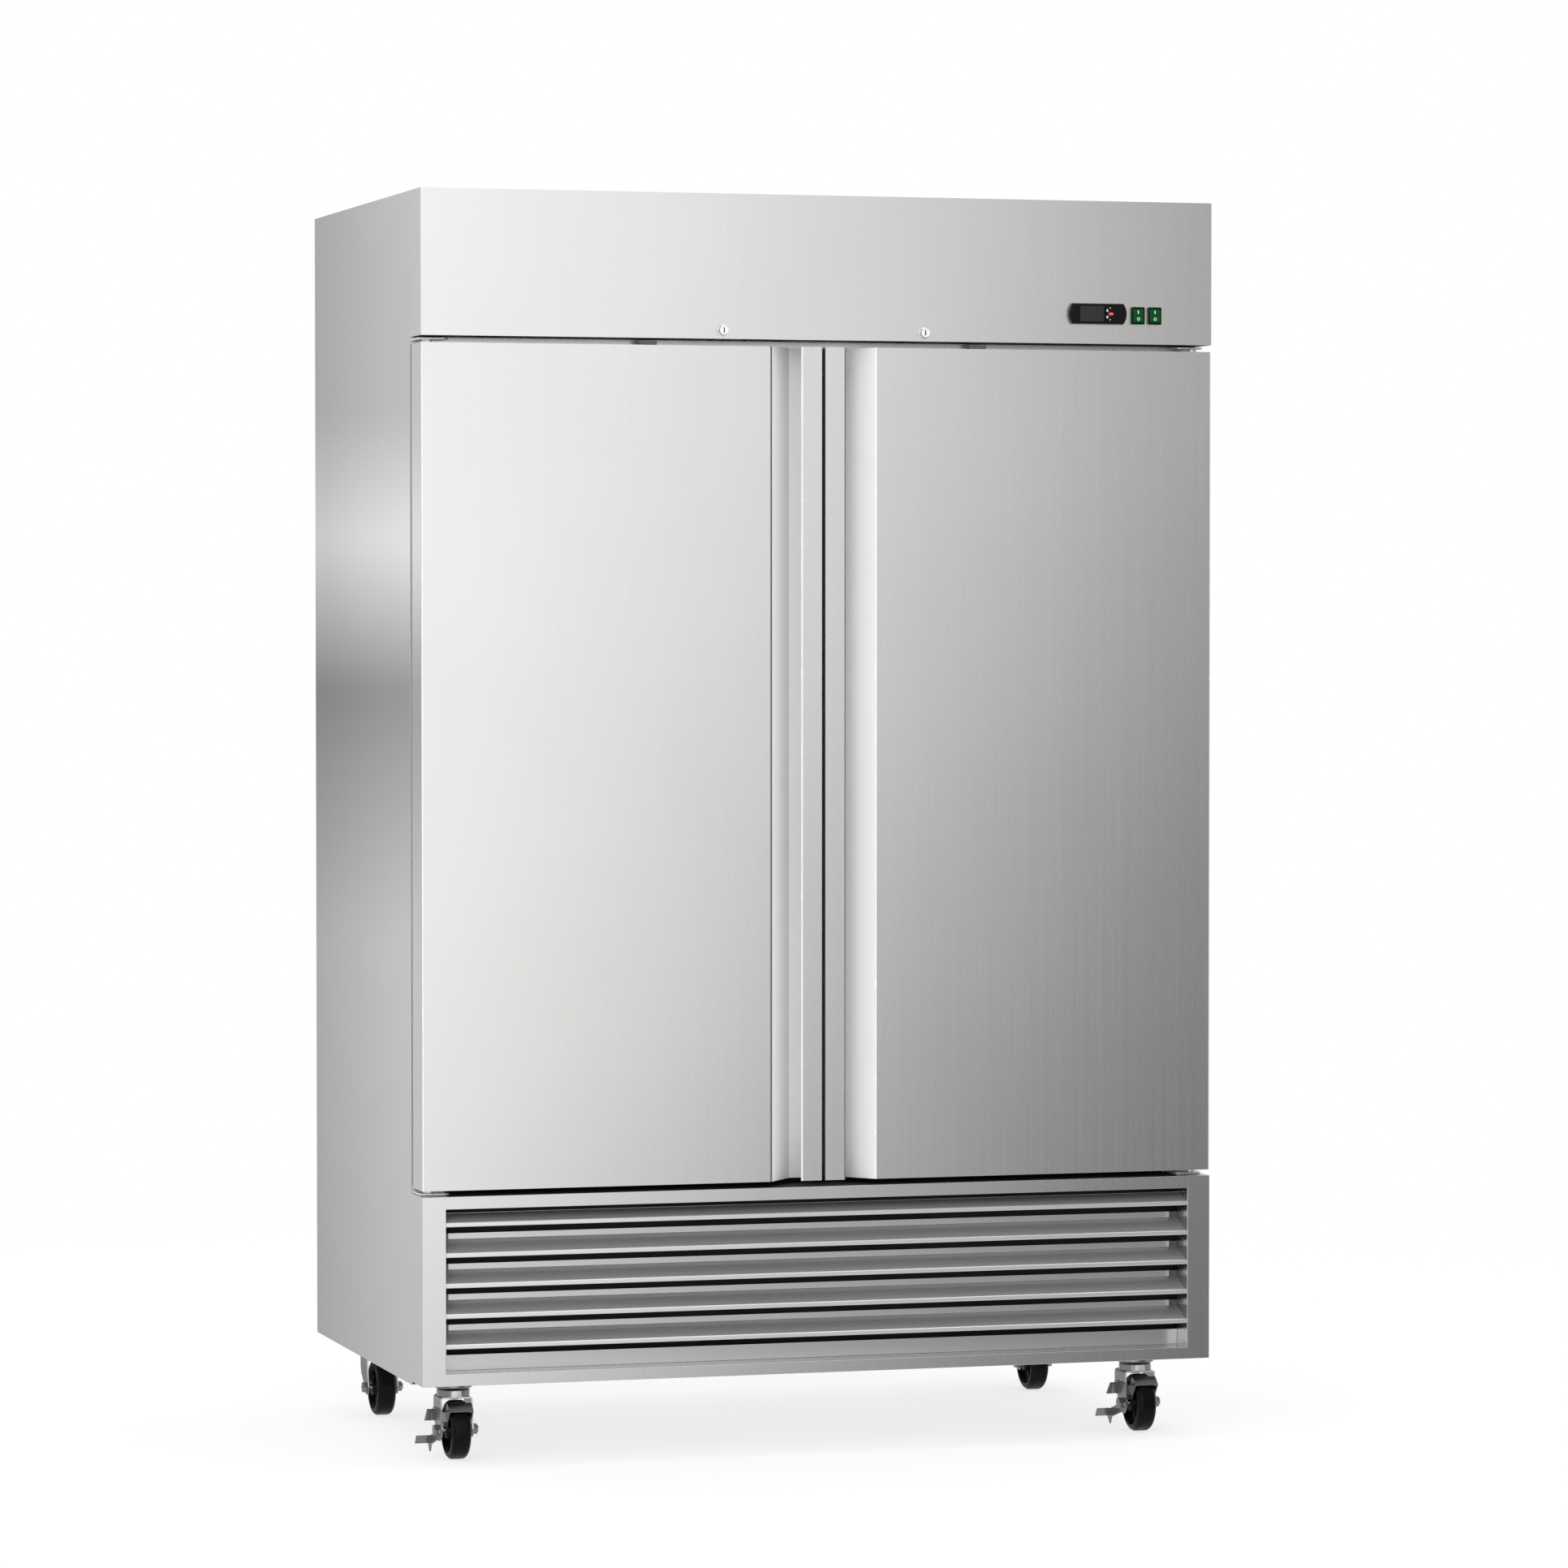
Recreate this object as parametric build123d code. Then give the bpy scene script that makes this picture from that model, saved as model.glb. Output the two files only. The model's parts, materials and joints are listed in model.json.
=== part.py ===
from build123d import *
import math
import os

# Two-door stainless reach-in refrigerator on casters.
# Millimetres. +X to the right, -Y towards the user, +Z up.
# The origin is on the floor, at the centre of the footprint.

os.makedirs("parts", exist_ok=True)

# ---- driving dimensions -------------------------------------------------------------------
WIDTH = 1372.0
HALF = WIDTH / 2
BODY_DEPTH = 830.0
PROTRUSION = 11.8                       # controls and locks stand out this far
FRONT = -(BODY_DEPTH + PROTRUSION) / 2 + PROTRUSION
BACK = FRONT + BODY_DEPTH
BASE = 136.4                            # underside of the cabinet, on its casters
TOP = 2098.0
SEAM = FRONT + 80.7                     # the plane that the door gaskets close on
KICK_TOP = BASE + 311.8
DOOR_BOTTOM = BASE + 321.8
DOOR_TOP = BASE + 1710.0
HEADER_BOTTOM = BASE + 1721.2
SHEET = 1.5

# insulated box
WALL_FOAM = 57.5
LINER = 1.2
DECK = 440.0                            # underside of the insulated floor
LINER_HALF = HALF - SHEET - WALL_FOAM
LINER_BACK = BACK - SHEET - WALL_FOAM
LINER_LOW = DECK + WALL_FOAM
LINER_HIGH = TOP - SHEET - WALL_FOAM
OPENING_SIDE = 620.0
OPENING_LOW = 506.0
OPENING_HIGH = 1806.0
MULLION_HALF = 40.0
FRAME_T = 2.0

# doors
DOOR_EDGE = 3.0                         # half of the gap between the doors
DOOR_BACK = 66.0                        # front plane to the back of the door's skin
LINER_T = 1.5
GASKET_INSET_X = 22.0
GASKET_INSET_Z = 20.0
GASKET_W = 13.0
GASKET_BACK = 80.4
HINGE_X = HALF - 20.0
HINGE_Y = FRONT + 41.0
PIN_R = 4.0
RUNNING = 0.05                          # radial clearance of the running fits
LIP_WIDTH = 38.6
LIP_T = 3.0
GRIP_EDGE = 90.5
GRIP_FLOOR = 58.5
GRIP_BEND = 43.0
LOCK_SPACE = 16.5                       # the foam ends this far below the door's top edge

# header controls, distances from the front plane are given as Y
LOCK_X = 174.7
LOCK_Z = BASE + 1735.5
CONTROL_X = 480.0
CONTROL_Z = BASE + 1771.5
CONTROL_W = 103.0
CONTROL_H = 35.0
CONTROL_BULGE = 6.0                     # how far the curved ends swell outwards
CONTROL_OUT = 11.0
SWITCH_X = (552.6, 582.4)
SWITCH_Z = BASE + 1769.3
SWITCH_W = 24.0
SWITCH_H = 29.0
SWITCH_OUT = 5.0
BUTTON_X = CONTROL_X + 15.2
BUTTON_Z = (CONTROL_Z + 6.2, CONTROL_Z - 6.2)
DISPLAY_X = (CONTROL_X - 32.4, CONTROL_X + 10.2)
DISPLAY_HALF = 13.4

# grille
GRILLE_HALF = 646.0
GRILLE_LOW = BASE + 19.7
GRILLE_HIGH = BASE + 291.1
LOUVER_DEPTH = 49.0
LOUVER_PITCH = 50.3
LOUVER_LIP = [BASE + 261.4 - LOUVER_PITCH * k for k in range(5)]

# casters
CASTER_X = 602.0
CASTER_Y = (FRONT + 139.0, FRONT + 705.0)
TRAIL = 20.5
WHEEL_R = 49.0
WHEEL_W = 33.0
HUB_W = 36.0
AXLE_R = 5.0
FORK_HALF = 27.5
FORK_T = 3.0
FORK_TOP = 103.5
BRAKE_PIVOT = (-3.5, -2.0)              # Y and Z from the axle to the brake's eccentric shoulder
SHOULDER_R = 10.0

# shelves
SHELF_Z = (650.0, 1030.0, 1410.0)
SHELF_X = (52.0, 608.0)
SHELF_Y = (FRONT + 135.0, FRONT + 735.0)


# ---- helpers ------------------------------------------------------------------------------
def block(x0, x1, y0, y1, z0, z1):
    """A box between two corners."""
    size = (abs(x1 - x0), abs(y1 - y0), abs(z1 - z0))
    centre = ((x0 + x1) / 2, (y0 + y1) / 2, (z0 + z1) / 2)
    return Pos(*centre) * Box(*size)


def rod(axis, centre, r, length):
    """A cylinder with its middle at centre, along X, Y or Z."""
    turn = {"x": Rot(0, 90, 0), "y": Rot(90, 0, 0), "z": Rot(0, 0, 0)}[axis]
    return Pos(*centre) * turn * Cylinder(r, length)


def prism(axis, points, low, high):
    """An outline pushed along an axis: (x, y) for z, (y, z) for x, (x, z) for y."""
    if axis == "z":
        plane = Plane.XY.offset(low)
    elif axis == "x":
        plane = Plane.YZ.offset(low)
    else:
        plane = Plane(origin=(0, high, 0), x_dir=(1, 0, 0), z_dir=(0, -1, 0))
    face = plane * make_face(Polyline(*points, close=True))
    return extrude(face, amount=high - low)


def flip(shape):
    """The mirror image across the middle of the cabinet."""
    return mirror(shape, about=Plane.YZ)


def both(shape):
    """A piece and its mirror image."""
    return [shape, flip(shape)]


def solids_of(items):
    """Every solid in a list of shapes."""
    found = []
    for item in items:
        found += list(item.solids())
    return found


def save(name, *items):
    """Writes one node: a single solid, or a group of separate solids."""
    shapes = solids_of(items)
    whole = shapes[0] if len(shapes) == 1 else Compound(children=shapes)
    whole.label = name
    export_step(whole, f"parts/{name}.step")


def round_bar(points, r, radius):
    """A tube of round section along straight runs joined by arcs."""
    path = FilletPolyline(*points, radius=radius)
    start = Plane(origin=path @ 0, z_dir=path % 0)
    return sweep(start * Circle(r), path=path)


# ---- cabinet shell ------------------------------------------------------------------------
def side_panel():
    """Right side: outer sheet with an inward foot along its bottom edge."""
    sheet = block(HALF - SHEET, HALF, SEAM, BACK, BASE - 5.5, TOP)
    foot = block(HALF - 25, HALF - SHEET, SEAM, BACK, BASE - 5.5, BASE - 5.5 + SHEET)
    return sheet + foot


def top_panel():
    return block(-HALF + SHEET, HALF - SHEET, SEAM + FRAME_T, BACK - SHEET, TOP - SHEET, TOP)


BACK_SCREWS = [(x, z) for x in (-640, 0, 640) for z in (480, 1260, 2050)]
GRILLE_SCREWS = [(x, z) for x in (-640, -215, 215, 640) for z in (BASE + 18, DECK - 14)]
SCREW_R = 2.5
GLAND_X = 600.0                         # the power cord's gland in the rear cover
GLAND_Z = 200.0


def screw_head(x, z, clear):
    """Countersunk head, flush with the back of the cabinet."""
    return Pos(x, BACK - SHEET / 2, z) * Rot(-90, 0, 0) * Cone(SCREW_R + clear, 4.4 + clear, SHEET)


def back_panel():
    panel = block(-HALF + SHEET, HALF - SHEET, BACK - SHEET, BACK, DECK, TOP)
    for x, z in BACK_SCREWS:
        panel -= screw_head(x, z, 0.1)
    return panel


def rear_grille():
    """Louvred cover of the machine compartment's back."""
    panel = block(-HALF + SHEET, HALF - SHEET, BACK - SHEET, BACK, BASE + 3, DECK)
    for x, z in GRILLE_SCREWS:
        panel -= screw_head(x, z, 0.1)
    slots = [block(x - 80, x + 80, BACK - 5, BACK + 5, z, z + 8)
             for x in (-470, -280, 280, 470) for z in range(190, 400, 24)]
    panel -= slots
    panel -= rod("y", (GLAND_X, BACK, GLAND_Z), 11, 10)
    return panel


def face_frame():
    """The sheet that the gaskets close on, with two door openings."""
    frame = block(-HALF + SHEET, HALF - SHEET, SEAM, SEAM + FRAME_T, 430, TOP)
    for low, high in ((-OPENING_SIDE, -MULLION_HALF), (MULLION_HALF, OPENING_SIDE)):
        frame -= block(low, high, SEAM - 5, SEAM + 5, OPENING_LOW, OPENING_HIGH)
    return frame


def center_mullion():
    """Hollow post behind the face frame, between the two openings."""
    y0 = SEAM + FRAME_T
    post = block(-MULLION_HALF, MULLION_HALF, y0, y0 + 40, LINER_LOW + LINER, LINER_HIGH - LINER)
    hollow = block(-MULLION_HALF + 2, MULLION_HALF - 2, y0 - 1, y0 + 38,
                   LINER_LOW - 5, LINER_HIGH + 5)
    return post - hollow


def cabinet_foam():
    whole = block(-HALF + SHEET, HALF - SHEET, SEAM + FRAME_T, BACK - SHEET, DECK, TOP - SHEET)
    hollow = block(-LINER_HALF, LINER_HALF, SEAM, LINER_BACK, LINER_LOW, LINER_HIGH)
    foam = whole - hollow
    for x, z in BACK_SCREWS:
        foam -= rod("y", (x, BACK, z), SCREW_R, 30)
    return foam


def interior_liner():
    outer = block(-LINER_HALF, LINER_HALF, SEAM + FRAME_T, LINER_BACK, LINER_LOW, LINER_HIGH)
    inner = block(-LINER_HALF + LINER, LINER_HALF - LINER, SEAM, LINER_BACK - LINER,
                  LINER_LOW + LINER, LINER_HIGH - LINER)
    return outer - inner


# ---- shelves ------------------------------------------------------------------------------
STANDARD_LOW = 540.0
STANDARD_HIGH = 1640.0
STANDARD_W = 18.0
STANDARD_T = 3.0
WALL_X = LINER_HALF - LINER
STANDARD_Y = (SHELF_Y[0] + 50, SHELF_Y[1] - 60)
MULLION_BACK = SEAM + FRAME_T + 40
WALL_BACK = LINER_BACK - LINER


def standards():
    """Slotted strips: two on each side wall, two on the mullion, two on the back wall."""
    strips = []
    for y in STANDARD_Y:
        strip = block(WALL_X - STANDARD_T, WALL_X, y - STANDARD_W / 2, y + STANDARD_W / 2,
                      STANDARD_LOW, STANDARD_HIGH)
        slots = [block(WALL_X - 5, WALL_X + 1, y - 4, y + 4, z, z + 6)
                 for z in range(560, 1620, 38)]
        strips += both(strip - slots)
    for y0, y1 in ((MULLION_BACK, MULLION_BACK + STANDARD_T), (WALL_BACK - STANDARD_T, WALL_BACK)):
        strip = block(18, 18 + STANDARD_W, y0, y1, STANDARD_LOW, STANDARD_HIGH)
        slots = [block(23, 31, y0 - 1, y1 + 1, z, z + 6) for z in range(560, 1620, 38)]
        strips += both(strip - slots)
    return strips


def clips():
    """Four clips under each shelf, each hooked on a strip."""
    found = []
    for z in SHELF_Z:
        for y in STANDARD_Y:
            x = WALL_X - STANDARD_T
            arm = block(x - 26, x, y - 6, y + 6, z - 6.5, z - 3.1)
            web = block(x - 2, x, y - 6, y + 6, z - 22, z - 6.5)
            found += both(arm + web)
        front = MULLION_BACK + STANDARD_T
        arm = block(21, 62, front, front + 12, z - 6.5, z - 3.1)
        web = block(21, 33, front, front + 2, z - 22, z - 6.5)
        found += both(arm + web)
        rear = WALL_BACK - STANDARD_T
        reach = rear - (SHELF_Y[1] - 16)
        arm = block(21, 33, rear - reach, rear, z - 6.5, z - 3.1)
        ledge = block(33, 62, rear - reach, rear - reach + 12, z - 6.5, z - 3.1)
        web = block(21, 33, rear - 2, rear, z - 22, z - 6.5)
        found += both(arm + ledge + web)
    return found


def wire_shelf():
    """Round wires welded on top of cross bars, inside a round perimeter rod."""
    x0, x1 = SHELF_X
    y0, y1 = SHELF_Y
    frame_r = 3.0
    wire_r = 1.8
    rim = [rod("x", ((x0 + x1) / 2, y, 0), frame_r, x1 - x0) for y in (y0, y1)]
    rim += [rod("y", (x, (y0 + y1) / 2, 0), frame_r, y1 - y0) for x in (x0, x1)]
    rim += [Pos(x, y, 0) * Sphere(frame_r) for x in (x0, x1) for y in (y0, y1)]
    rim += [rod("x", ((x0 + x1) / 2, y0 + k * (y1 - y0) / 3, 0), frame_r, x1 - x0) for k in (1, 2)]
    count = 22
    step = (x1 - x0) / (count + 1)
    wires = [rod("y", (x0 + step * (k + 1), (y0 + y1) / 2, 3.2), wire_r, y1 - y0)
             for k in range(count)]
    shelf = rim[0]
    shelf = shelf.fuse(*rim[1:], *wires)
    return shelf


# ---- cold side ----------------------------------------------------------------------------
EVAP_HALF = 330.0
EVAP_FRONT = FRONT + 450.0
EVAP_LOW = 1840.0
EVAP_FAN = (0.0, EVAP_FRONT + 32.0, 1938.0)
EVAP_FAN_R = 82.0
EVAP_SCREWS = [(x, EVAP_LOW + 12) for x in (-300, -110, 110, 300)]


def evaporator_cover():
    """Open-backed housing with a fan ring in its front and slots in its floor."""
    high = LINER_HIGH - LINER
    shell = block(-EVAP_HALF, EVAP_HALF, EVAP_FRONT, WALL_BACK, EVAP_LOW, high)
    shell -= block(-EVAP_HALF + 2, EVAP_HALF - 2, EVAP_FRONT + 2, WALL_BACK + 1,
                   EVAP_LOW + 2, high + 1)
    x, y, z = EVAP_FAN
    shell -= rod("y", (x, EVAP_FRONT, z), EVAP_FAN_R + 4, 20)
    ring = rod("y", (x, EVAP_FRONT + 20, z), EVAP_FAN_R + 6, 40)
    ring -= rod("y", (x, EVAP_FRONT + 20, z), EVAP_FAN_R + 4, 60)
    shell += ring
    shell -= [block(x - 20, x + 20, EVAP_FRONT + 120, EVAP_FRONT + 300, EVAP_LOW - 5, EVAP_LOW + 5)
              for x in range(-270, 300, 60)]
    for x, z in EVAP_SCREWS:
        shell -= rod("y", (x, EVAP_FRONT, z), SCREW_R, 20)
    bracket = block(-EVAP_HALF + 2, EVAP_HALF - 2, EVAP_FRONT + 66, EVAP_FRONT + 69, z_mid() - 9,
                    z_mid() + 9)
    bracket -= rod("y", (EVAP_FAN[0], EVAP_FRONT + 67, z_mid()), 3 + RUNNING, 20)
    return shell + bracket


def z_mid():
    """Height of the evaporator fan's axis."""
    return EVAP_FAN[2]


def evaporator_coil():
    """A finned block with tube bends at each end."""
    y0 = EVAP_FRONT + 130
    y1 = EVAP_FRONT + 290
    fins = [block(x, x + 3, y0, y1, EVAP_LOW + 30, LINER_HIGH - 22) for x in range(-280, 278, 9)]
    tubes = []
    for row in range(3):
        y = y0 + 30 + row * 50
        for level in range(4):
            z = EVAP_LOW + 50 + level * 35
            tubes.append(rod("x", (0, y, z), 5, 590))
    coil = tubes[0].fuse(*tubes[1:], *fins)
    return coil


def fan(centre, radius, hub_r, depth, blades, shaft_r, shaft):
    """Hub, pitched blades and a shaft that points back along +Y."""
    x, y, z = centre
    wheel = rod("y", centre, hub_r, depth)
    for k in range(blades):
        blade = Box(radius - hub_r + 6, 2.5, hub_r * 1.5)
        blade = Rot(0, 0, 0) * Pos((radius + hub_r) / 2 - 3, 0, 0) * Rot(24, 0, 0) * blade
        wheel += Pos(x, y, z) * Rot(0, 360 * k / blades, 0) * blade
    wheel &= rod("y", centre, radius, depth * 3)
    wheel += rod("y", (x, y + depth / 2 + shaft / 2 - 1, z), shaft_r, shaft + 2)
    return wheel


def interior_light():
    """A slim lamp under the ceiling, just behind the face frame."""
    y = SEAM + FRAME_T + 60
    high = LINER_HIGH - LINER
    bar = block(-260, 260, y, y + 44, high - 26, high)
    return fillet(bar.edges().filter_by(Axis.X).sort_by(Axis.Z)[:2], 9)


# ---- header -------------------------------------------------------------------------------
def lock_slot(x):
    """Where the lock's tongue swings down through the header's underside."""
    return block(x - 8, x + 38, FRONT + 17, FRONT + 25, HEADER_BOTTOM - 5, HEADER_BOTTOM + 8)


def header_panel():
    shell = block(-HALF, HALF, FRONT, SEAM - 0.2, HEADER_BOTTOM, TOP)
    shell -= block(-HALF + SHEET, HALF - SHEET, FRONT + SHEET, SEAM + 5,
                   HEADER_BOTTOM + SHEET, TOP - SHEET)
    notch = block(-HALF + SHEET, HALF - SHEET, SEAM - 4, SEAM + 5, HEADER_BOTTOM - 5,
                  HEADER_BOTTOM + 5)
    shell -= notch
    for x in (-LOCK_X, LOCK_X):
        shell -= rod("y", (x, FRONT, LOCK_Z), 8.2, 20)
        shell -= lock_slot(x)
    shell -= block(CONTROL_X - 36, CONTROL_X + 36, FRONT - 5, FRONT + 5, CONTROL_Z - 14,
                   CONTROL_Z + 14)
    for x in SWITCH_X:
        shell -= block(x - 10.8, x + 10.8, FRONT - 5, FRONT + 5, SWITCH_Z - 14, SWITCH_Z + 14)
    return shell


def lock_housing(x):
    """Collar outside the sheet, barrel through it, and the bore for the plug."""
    collar = rod("y", (x, FRONT - 1.0, LOCK_Z), 9.6, 2.0)
    collar += rod("y", (x, FRONT - 3.5, LOCK_Z), 8.2, 5.0)
    barrel = rod("y", (x, FRONT + 8, LOCK_Z), 8.0, 16)
    bore = rod("y", (x, FRONT, LOCK_Z), 6.2 + RUNNING, 60)
    return collar + barrel - bore


def lock_plug(x):
    """Key face with a slot, plug, and a tongue that points along +X at rest."""
    plug = rod("y", (x, FRONT + 5.7, LOCK_Z), 6.2, 31.4)
    plug += rod("y", (x, FRONT - 8.5, LOCK_Z), 7.4, 3.0)
    plug -= block(x - 1.0, x + 1.0, FRONT - 11, FRONT - 2, LOCK_Z - 4.4, LOCK_Z + 4.4)
    tongue = block(x - 6, x + 33, FRONT + 19.4, FRONT + 22.4, LOCK_Z - 5, LOCK_Z + 5)
    return plug + tongue


def controller_housing():
    """Control module: flat face with bulged ends, and a body through the header."""
    x0, x1 = CONTROL_X - CONTROL_W / 2, CONTROL_X + CONTROL_W / 2
    z0, z1 = CONTROL_Z - CONTROL_H / 2, CONTROL_Z + CONTROL_H / 2
    bezel = block(x0, x1, FRONT - CONTROL_OUT, FRONT, z0, z1)
    end_r = ((CONTROL_H / 2) ** 2 + CONTROL_BULGE ** 2) / (2 * CONTROL_BULGE)
    for x, side in ((x0 + end_r, 1), (x1 - end_r, -1)):
        middle = block(x, x + side * CONTROL_W, FRONT - 20, FRONT + 5, z0 - 5, z1 + 5)
        bezel &= rod("y", (x, FRONT, CONTROL_Z), end_r, 60) + middle
    bezel = chamfer(bezel.faces().sort_by(Axis.Y)[0].edges(), 1.7)
    body = block(CONTROL_X - 35.5, CONTROL_X + 35.5, FRONT, FRONT + 52, CONTROL_Z - 13.5,
                 CONTROL_Z + 13.5)
    housing = bezel + body
    housing -= block(*DISPLAY_X, FRONT - CONTROL_OUT - 1, FRONT - CONTROL_OUT + 2.5,
                     CONTROL_Z - DISPLAY_HALF, CONTROL_Z + DISPLAY_HALF)
    for z in BUTTON_Z:
        housing -= block(BUTTON_X - 4.5, BUTTON_X + 4.5, FRONT - CONTROL_OUT - 1,
                         FRONT - CONTROL_OUT + 5, z - 4.0, z + 4.0)
    return housing


def controller_display():
    face = FRONT - CONTROL_OUT
    return block(*DISPLAY_X, face + 0.4, face + 2.5, CONTROL_Z - DISPLAY_HALF,
                 CONTROL_Z + DISPLAY_HALF)


def button(z):
    """Key cap: stands 1 mm proud, with room behind it to be pressed."""
    face = FRONT - CONTROL_OUT
    cap = block(BUTTON_X - 4.1, BUTTON_X + 4.1, face - 0.8, face + 3.2, z - 3.6, z + 3.6)
    return fillet(cap.edges().filter_by(Axis.Y), 1.2)


ROCKER_PIVOT_Y = FRONT + 2.0
ROCKER_R = 13.2
ROCKER_TILT = 8.0


def switch_frame(x):
    """Rectangular collar with a well for the rocker."""
    w, h = SWITCH_W / 2, SWITCH_H / 2
    collar = block(x - w, x + w, FRONT - SWITCH_OUT, FRONT, SWITCH_Z - h, SWITCH_Z + h)
    collar = fillet(collar.edges().filter_by(Axis.Y), 2)
    body = block(x - 10.6, x + 10.6, FRONT, FRONT + 30, SWITCH_Z - 13.8, SWITCH_Z + 13.8)
    well = block(x - 9.6, x + 9.6, FRONT - SWITCH_OUT - 1, FRONT + 14, SWITCH_Z - 13.5,
                 SWITCH_Z + 13.5)
    well_back = rod("x", (x, ROCKER_PIVOT_Y, SWITCH_Z), ROCKER_R + 0.3, 19.2)
    return collar + body - well - well_back + rocker_pivot(x)


def rocker_pivot(x):
    """Cross pin in the switch that the rocker tilts on."""
    return rod("x", (x, ROCKER_PIVOT_Y, SWITCH_Z), 1.5, 19.2)


def rocker(x):
    """Rocker with its upper half pressed in at rest."""
    out = 9.4
    lean = math.tan(math.radians(ROCKER_TILT)) * ROCKER_R
    y = ROCKER_PIVOT_Y
    points = [
        (y - out, SWITCH_Z),
        (y - out + 2 * lean, SWITCH_Z + ROCKER_R + 2),
        (y + 9, SWITCH_Z + ROCKER_R + 2),
        (y + 9, SWITCH_Z - ROCKER_R - 2),
        (y - out, SWITCH_Z - ROCKER_R - 2),
    ]
    body = prism("x", points, x - 9.2, x + 9.2)
    body &= rod("x", (x, y, SWITCH_Z), ROCKER_R, 40)
    body -= rod("x", (x, y, SWITCH_Z), 1.5 + RUNNING, 40)
    return body


# ---- doors --------------------------------------------------------------------------------
def door_outline(points):
    """Door points, with Y counted from the front plane, in part coordinates."""
    return [(x, FRONT + y) for x, y in points]


def hinge_holes(r):
    """Vertical holes in the door's top and bottom for the hinge pins."""
    top = rod("z", (HINGE_X, HINGE_Y, DOOR_TOP), r, 44)
    bottom = rod("z", (HINGE_X, HINGE_Y, DOOR_BOTTOM), r, 44)
    return [top, bottom]


def tongue_pocket(x):
    """Slot in the door's top edge for the lock's tongue."""
    return block(x - 8, x + 30, FRONT + 16, FRONT + 26, DOOR_TOP - 16, DOOR_TOP + 5)


def door_skin(pocket_x):
    """Right door: front sheet, edges and the full-height grip channel in one wrap."""
    outline = door_outline([
        (DOOR_EDGE, 0), (LIP_WIDTH, 0), (LIP_WIDTH, LIP_T), (DOOR_EDGE + LIP_T, LIP_T),
        (DOOR_EDGE + LIP_T, GRIP_FLOOR), (GRIP_BEND, GRIP_FLOOR), (GRIP_EDGE, 0),
        (HALF, 0), (HALF, DOOR_BACK), (DOOR_EDGE, DOOR_BACK),
    ])
    skin = prism("z", outline, DOOR_BOTTOM, DOOR_TOP)
    skin = skin - door_cavity(0)
    skin -= tongue_pocket(pocket_x)
    for hole in hinge_holes(PIN_R + RUNNING):
        skin -= hole
    return skin


def door_cavity(shrink):
    """The hollow behind the door's skin, open to the back."""
    s = SHEET + shrink
    outline = door_outline([
        (GRIP_EDGE + s * 0.8, s), (HALF - s, s), (HALF - s, DOOR_BACK), (DOOR_EDGE + s, DOOR_BACK),
        (DOOR_EDGE + s, GRIP_FLOOR + s), (GRIP_BEND + s * 0.8, GRIP_FLOOR + s),
    ])
    return prism("z", outline, DOOR_BOTTOM + SHEET, DOOR_TOP - SHEET)


def door_foam():
    """Stops short of the door's top edge, where the lock's tongue drops in."""
    foam = door_cavity(0.05)
    foam -= block(0, HALF, FRONT, FRONT + DOOR_BACK, DOOR_TOP - LOCK_SPACE, DOOR_TOP)
    for hole in hinge_holes(PIN_R + 1):
        foam -= hole
    return foam


def door_liner():
    """Inner sheet with a raised pan inside the gasket."""
    y = FRONT + DOOR_BACK
    sheet = block(DOOR_EDGE, HALF, y, y + LINER_T, DOOR_BOTTOM, DOOR_TOP)
    pan = block(MULLION_HALF + 6, OPENING_SIDE - 6, y, y + 13, OPENING_LOW + 6, OPENING_HIGH - 6)
    pan = fillet(pan.edges().filter_by(Axis.Y), 12)
    hollow = block(MULLION_HALF + 7.5, OPENING_SIDE - 7.5, y - 1, y + 11.5, OPENING_LOW + 7.5,
                   OPENING_HIGH - 7.5)
    hollow = fillet(hollow.edges().filter_by(Axis.Y), 10.5)
    return sheet + pan - hollow


def door_gasket():
    """Ring of magnetic gasket on the inner sheet."""
    y0 = FRONT + DOOR_BACK + LINER_T
    y1 = FRONT + GASKET_BACK
    x0, x1 = DOOR_EDGE + GASKET_INSET_X, HALF - GASKET_INSET_X
    z0, z1 = DOOR_BOTTOM + GASKET_INSET_Z, DOOR_TOP - GASKET_INSET_Z
    ring = block(x0, x1, y0, y1, z0, z1)
    ring -= block(x0 + GASKET_W, x1 - GASKET_W, y0 - 1, y1 + 1, z0 + GASKET_W, z1 - GASKET_W)
    return ring


# ---- hinges and door switches -------------------------------------------------------------
BRACKET_T = 3.0


def hinge_bracket(top):
    """Angle fixed to the face frame, with a barrel and a pin into the door."""
    if top:
        plate_low = DOOR_TOP + 5.6
        barrel = (DOOR_TOP + 0.5, plate_low)
        pin = (DOOR_TOP - 20, plate_low)
        leg = (plate_low, plate_low + 40)
    else:
        plate_low = KICK_TOP + 0.5
        barrel = (plate_low + BRACKET_T, DOOR_BOTTOM - 0.5)
        pin = (plate_low + BRACKET_T, DOOR_BOTTOM + 20)
        leg = (432, plate_low + BRACKET_T)
    plate = block(HINGE_X - 34, HINGE_X + 17, HINGE_Y - 14, SEAM, plate_low, plate_low + BRACKET_T)
    plate = fillet(plate.edges().filter_by(Axis.Z).sort_by(Axis.Y)[:2], 10)
    plate += block(HINGE_X - 34, HINGE_X + 17, SEAM - 3, SEAM, leg[0], leg[1])
    plate += rod("z", (HINGE_X, HINGE_Y, sum(barrel) / 2), 8, barrel[1] - barrel[0] + 0.2)
    plate += rod("z", (HINGE_X, HINGE_Y, sum(pin) / 2), PIN_R, pin[1] - pin[0] + 0.2)
    return plate


def door_switch():
    """Small sensor under the header that reads the door's position."""
    body = block(272, 304, SEAM - 26, SEAM, DOOR_TOP + 2.5, DOOR_TOP + 9.5)
    return fillet(body.edges().filter_by(Axis.Z).sort_by(Axis.Y)[:2], 4)


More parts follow.
